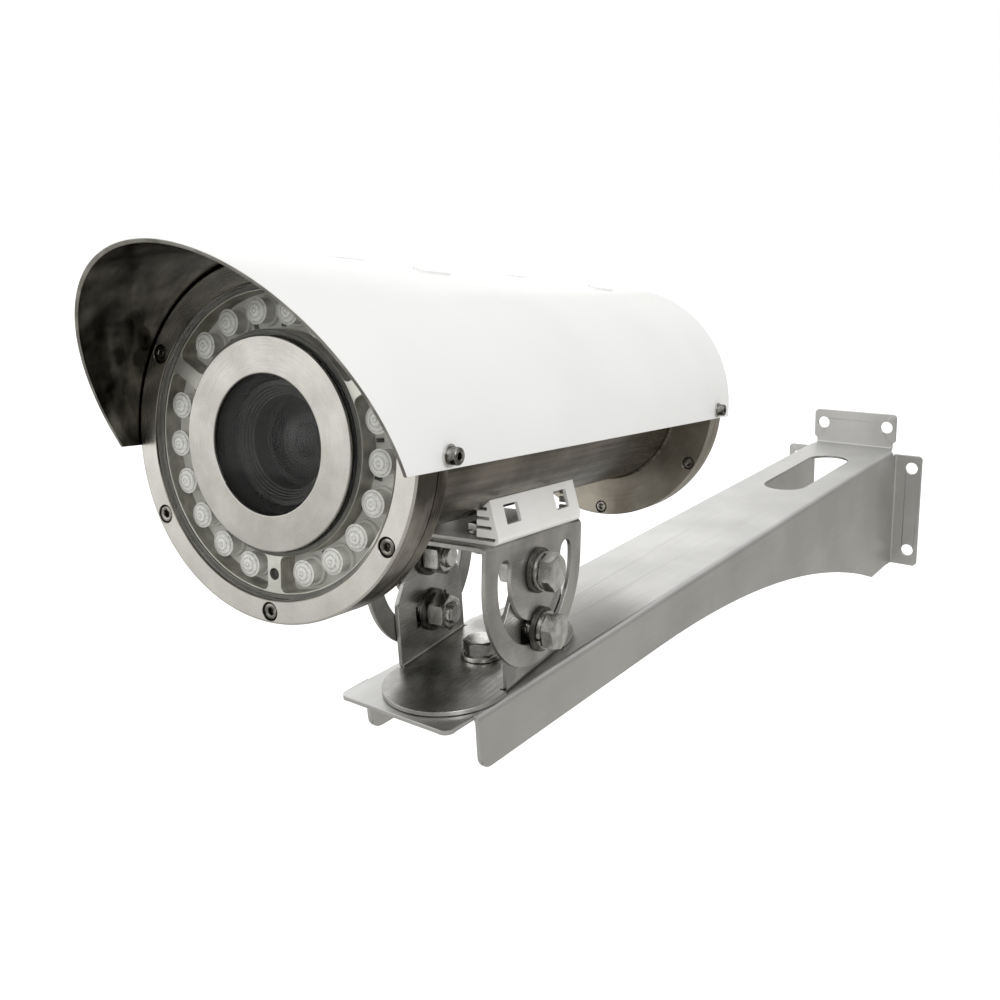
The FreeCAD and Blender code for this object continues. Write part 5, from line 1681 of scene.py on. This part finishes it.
@dataclass(frozen=True)
class Lamp:
    """One soft lamp: a square panel that faces a point."""

    name: str
    place: tuple[float, float, float]
    width: float
    height: float
    watts: float
    aim: tuple[float, float, float] = (0.1, -0.5, 0.12)

    def build(self) -> bpy.types.Object:
        """Make the lamp."""
        data = bpy.data.lights.new(self.name, "AREA")
        data.shape = "RECTANGLE"
        data.size, data.size_y, data.energy = self.width, self.height, self.watts
        item = bpy.data.objects.new(self.name, data)
        back = np.array(self.place) - np.array(self.aim)
        back /= np.linalg.norm(back)
        side = np.cross((0.0, 0.0, 1.0), back)
        side /= np.linalg.norm(side)
        item.matrix_world = Matrix(np.vstack((np.column_stack((side, np.cross(back, side), back, self.place)),
                                              (0, 0, 0, 1))).tolist())
        bpy.context.scene.collection.objects.link(item)
        return item


@dataclass(frozen=True)
class Studio:
    """White room with soft lamps and the camera of the photograph."""

    azimuth: float = 39.177
    elevation: float = 16.349
    roll: float = -3.149
    eye: tuple[float, float, float] = (0.34318, -0.96168, 0.30091)
    lens: float = 37.27
    shift: tuple[float, float] = (-0.000889, 0.00223)
    floor: float = -0.32
    floor_half: float = 12.0

    def build_camera(self) -> None:
        """Stand the camera at the eye, turned by azimuth, elevation and roll."""
        a, e, r = (math.radians(v) for v in (self.azimuth, self.elevation, self.roll))
        back = np.array((math.sin(a) * math.cos(e), -math.cos(a) * math.cos(e), math.sin(e)))
        side = np.cross((0.0, 0.0, 1.0), back)
        side /= np.linalg.norm(side)
        up = np.cross(back, side)
        right = math.cos(r) * side + math.sin(r) * up
        up = math.cos(r) * up - math.sin(r) * side
        data = bpy.data.cameras.new("camera")
        data.lens, data.sensor_width = self.lens, 36.0
        data.shift_x, data.shift_y = self.shift
        data.clip_start, data.clip_end = 0.05, 60.0
        item = bpy.data.objects.new("camera", data)
        item.matrix_world = Matrix(np.vstack((np.column_stack((right, up, back, self.eye)),
                                              (0, 0, 0, 1))).tolist())
        bpy.context.scene.collection.objects.link(item)
        bpy.context.scene.camera = item

    def build_world(self) -> None:
        """White to the camera; to reflections a room that is bright above and to the left and dark on
        the right, where no window is."""
        world = bpy.data.worlds.new("white_room")
        world.use_nodes = True
        tree = world.node_tree
        tree.nodes.clear()
        bpy.context.scene.world = world
        way = add_node(tree, "ShaderNodeNewGeometry")
        parts = add_node(tree, "ShaderNodeSeparateXYZ", feeds={0: way.outputs["Incoming"]})
        rise = ranged(tree, parts.outputs[2], (-0.35, -0.75), (0.0, 1.0))
        across = ranged(tree, parts.outputs[0], (-0.5, 0.25), (0.0, 1.0))
        low = blended(tree, across, (0.32, 0.315, 0.3, 1), (1.05, 1.04, 1.02, 1))
        room = blended(tree, rise, low, (0.85, 0.85, 0.87, 1))
        path = add_node(tree, "ShaderNodeLightPath")
        walls = blended(tree, rise, (1.04, 1.04, 1.04, 1), (0.74, 0.74, 0.74, 1))
        soft = blended(tree, path.outputs["Is Diffuse Ray"], room, walls)
        shown = blended(tree, path.outputs["Is Camera Ray"], soft, (1.0, 1.0, 1.0, 1))
        sky = add_node(tree, "ShaderNodeBackground", feeds={"Color": shown, "Strength": 1.0})
        add_node(tree, "ShaderNodeOutputWorld", feeds={"Surface": sky.outputs[0]})

    def build_floor(self) -> None:
        """Pale floor that is lit to white and keeps a soft shadow."""
        h = self.floor_half
        mesh = bpy.data.meshes.new("floor")
        mesh.from_pydata([(-h, -h, self.floor), (h, -h, self.floor), (h, h, self.floor), (-h, h, self.floor)],
                         [], [(0, 1, 2, 3)])
        material, tree = new_material("matt_white_floor")
        path = add_node(tree, "ShaderNodeLightPath")
        tone = blended(tree, path.outputs["Is Glossy Ray"], linear("#dcdcdc"), linear("#c0beba"))
        matt = add_node(tree, "ShaderNodeBsdfDiffuse", feeds={"Color": tone})
        glow = add_node(tree, "ShaderNodeEmission", feeds={
            "Color": (1.0, 1.0, 1.0, 1.0), "Strength": ranged(tree, path.outputs["Is Camera Ray"],
                                                              (0.0, 1.0), (0.0, 0.62))})
        both = add_node(tree, "ShaderNodeAddShader", feeds={0: matt.outputs[0], 1: glow.outputs[0]})
        add_node(tree, "ShaderNodeOutputMaterial", feeds={"Surface": both.outputs[0]})
        mesh.materials.append(material)
        item = bpy.data.objects.new("floor", mesh)
        bpy.context.scene.collection.objects.link(item)

    def build(self) -> None:
        """Make the camera, room, floor and lamps."""
        bpy.context.scene.view_settings.view_transform = "Standard"
        self.build_camera()
        self.build_world()
        self.build_floor()
        lamps = (Lamp("key_lamp", (1.5, -1.4, 1.5), 1.2, 1.2, 10.0),
                 Lamp("top_lamp", (0.0, -0.3, 1.9), 1.6, 1.6, 0.8),
                 Lamp("back_left_lamp", (-1.35, 0.5, 0.8), 2.0, 0.9, 2.0, (0.0, -0.4, 0.06)),
                 Lamp("front_left_lamp", (-1.0, -2.1, 0.35), 1.6, 1.2, 2.2, (0.02, -0.7, 0.2)))
        for lamp in lamps:
            lamp.build()


def main() -> None:
    """Build every assembly in order, then the stage, and report each piece."""
    logging.basicConfig(level=logging.INFO, format="%(name)s: %(message)s")
    look = Finishes()
    assemblies = (WallArm(), PanJoint(), SwivelBracket(), YokeAndCradle(), FrontBezel(), Window(), LampRing(),
                  CameraLens(), Tube(), RearEnd(), Sunshield(), Inside())
    for assembly in assemblies:
        made = assembly.build(look)
        log.info("%s: %d pieces", type(assembly).__name__, len(made))
    Studio().build()


if __name__ == "__main__":
    main()
